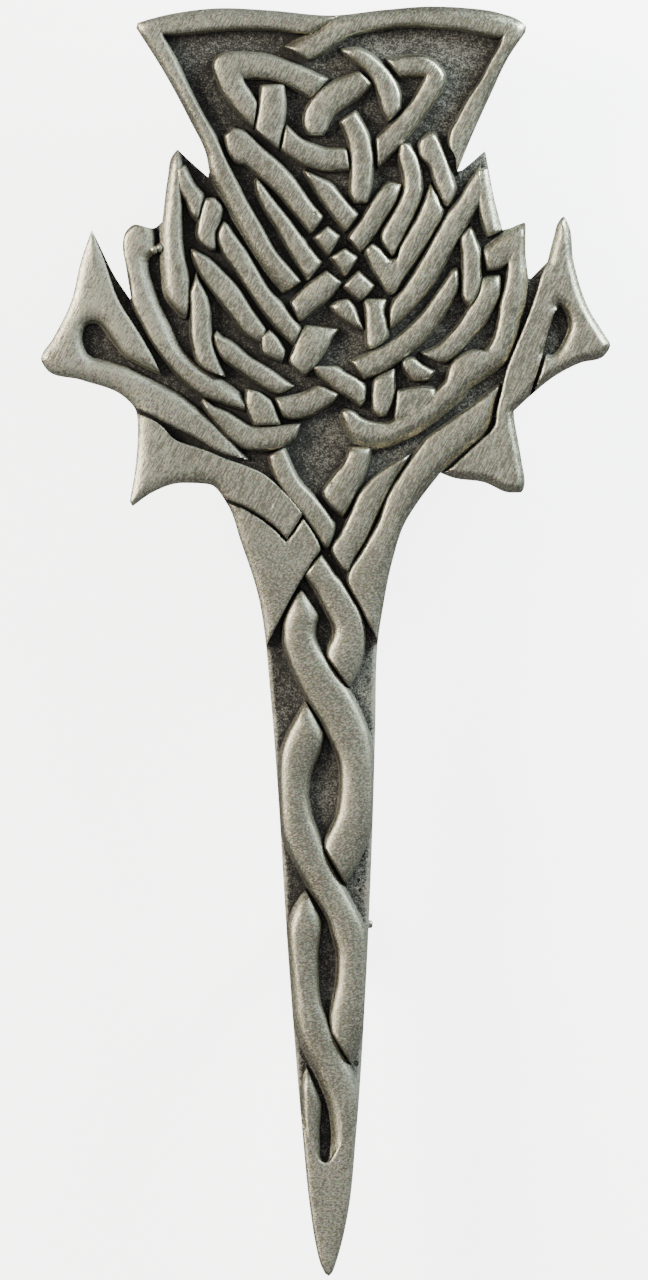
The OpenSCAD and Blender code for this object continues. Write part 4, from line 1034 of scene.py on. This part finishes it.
across, along, height = pewter.axis("X"), pewter.axis("Y"), pewter.axis("Z")
rise = (height - casting["ground"]) * (1 / casting["relief"])
rightSide = across.between(*pewterLook["rightSide"])
onBlade = along.between(*pewterLook["blade"])
# Painted light: the raised metal is made lighter on the left leaf and towards the point
glow = across.between(*pewterLook["leftLeaf"]) + along.between(*pewterLook["point"]) * 0.5
shutIn, paintedShade = pewter.fromShape("shutIn"), pewter.fromShape("paintedShade")
nearRim = pewter.fromShape("nearRim") * along.between(*pewterLook["crownSide"])
scratches = short + (brushed - short) * along.between(*pewterLook["head"])
topside = (rise + speckle.swing(0.3) - shutIn * 0.8 + nearRim * 0.4).between(0.08, 0.38)
flank = (0 - rise).between(0.06, 0.3) * 0.8
# Painted shade on the right-facing slopes takes away the bare metal there: darker colour, less metallic, rougher
wornLessShade = topside.math("MAXIMUM", topside, flank) * (1 - paintedShade * pewterLook["shadeHides"])
part = pewterLook["metal"]
tone = (part["base"] + glow * part["glow"] + scratches.swing(part["scratches"]) + speckle.swing(part["speckle"])
        + clouds.swing(part["clouds"])).between(0, 1)
part = pewterLook["ground"]
openGround = (part["base"] + onBlade * part["blade"] - shutIn * part["shutIn"] + dust.swing(part["dust"])
              + crumbs.swing(part["crumbs"]) + clouds.swing(part["clouds"]) + nearRim * part["rim"]
              + rightSide * (part["right"] + onBlade * part["bladeRight"])).between(0, 1.2)
metal = pewter.blend(tone, pewterLook["dull"], pewterLook["bright"])
metal = pewter.blend(pewterLook["tinting"], metal, tints, "OVERLAY")
grime = pewter.blend(openGround, pewterLook["dirt"], pewterLook["rubbedDirt"])
pewter.give("Base Color", pewter.blend(wornLessShade, grime, metal))
pewter.give("Metallic", 0.4 + wornLessShade * 0.6)
pewter.give("Roughness", 0.7 - wornLessShade * 0.3 + scratches.swing(0.2))
pewter.give("Normal", pewter.node("ShaderNodeBump", {}, {
    "Strength": pewterLook["bumpStrength"], "Distance": pewterLook["bumpDepth"],
    "Height": scratches * wornLessShade * 0.7 + speckle * (1 - wornLessShade * 0.5) + (dust + crumbs) * (1 - wornLessShade)}))
plaque.data.materials.clear()
plaque.data.materials.append(pewter.material)

steelLook = {
    "dull": (0.30, 0.29, 0.27), "bright": (0.55, 0.54, 0.51),
    "smear": (0.0012, 3.0, 0.6), "drawn": (0.00012, 3.0, 0.6, 90, (8, 1, 1)),
    "bumpStrength": 0.4, "bumpDepth": 0.00002,
}
steel = Finish("plated_steel", {"Metallic": 1.0})
smear, drawn = steel.grain(*steelLook["smear"]), steel.grain(*steelLook["drawn"])
tone = (smear * 0.7 + drawn * 0.5).between(0.35, 0.85)
steel.give("Base Color", steel.blend(tone, steelLook["dull"], steelLook["bright"]))
steel.give("Roughness", 0.32 + smear * 0.2)
steel.give("Normal", steel.node("ShaderNodeBump", {}, {
    "Strength": steelLook["bumpStrength"], "Distance": steelLook["bumpDepth"], "Height": drawn}))
fitting.data.materials.append(steel.material)
print("finishes made")

floorLook = {
    "halfWidth": 1.5, "glow": 4.5, "mottle": 0.05,
    "dull": (0.90, 0.90, 0.90), "bright": (0.93, 0.93, 0.93),
}
shape = bmesh.new()
bmesh.ops.create_grid(shape, x_segments=8, y_segments=8, size=floorLook["halfWidth"])
floor = makeObject("floor", shape)
pale = Finish("pale_floor", {
    "Roughness": 0.8, "Specular IOR Level": 0.2, "Emission Strength": floorLook["glow"]})
pale.give("Base Color", pale.blend(pale.grain(floorLook["mottle"]), floorLook["dull"], floorLook["bright"]))
pale.give("Emission Color", (1, 1, 1))
floor.data.materials.append(pale.material)
floor.visible_diffuse, floor.visible_glossy = False, False

# Soft lamps, each turned to the pin: place, size, power and colour
studio = {
    "above": ((0.0, 0.12, 1.75), 1.2, 3.1, (1.0, 0.99, 0.95)),
    "left": ((-0.46, 0.16, 0.30), 0.24, 5.2, (1.0, 0.90, 0.74)),
    "upperRight": ((0.095, 0.09, 0.038), 0.064, 0.54, (0.86, 1.0, 0.97)),
}
air = {"colour": (0.97, 0.98, 1.0, 1), "strength": 0.3}
world = bpy.data.worlds.new("studio_air")
world.use_nodes = True
background = world.node_tree.nodes["Background"]
background.inputs["Color"].default_value = air["colour"]
background.inputs["Strength"].default_value = air["strength"]
bpy.context.scene.world = world
for name, (spot, size, power, colour) in studio.items():
    lamp = bpy.data.lights.new(name, "AREA")
    lamp.shape, lamp.size, lamp.energy, lamp.color = "DISK", size, power, colour
    made = bpy.data.objects.new(name, lamp)
    made.location = spot
    made.rotation_euler = (Vector((0, 0, 0)) - Vector(spot)).to_track_quat("-Z", "Y").to_euler()
    bpy.context.scene.collection.objects.link(made)

# The camera looks straight down through a long lens, at the photograph's frame of 648 by 1280
view = {"width": 648, "height": 1280, "above": 1.2, "focus": 0.0085, "sensor": 36, "near": 0.1, "far": 10}
lens = bpy.data.cameras.new("camera")
lens.sensor_width = view["sensor"]
lens.lens = view["sensor"] * (view["above"] - view["focus"]) / (view["height"] * unit)
lens.clip_start, lens.clip_end = view["near"], view["far"]
camera = bpy.data.objects.new("camera", lens)
camera.location = place(view["width"] / 2, view["height"] / 2, view["above"])
bpy.context.scene.collection.objects.link(camera)
bpy.context.scene.camera = camera

print("scene ready")
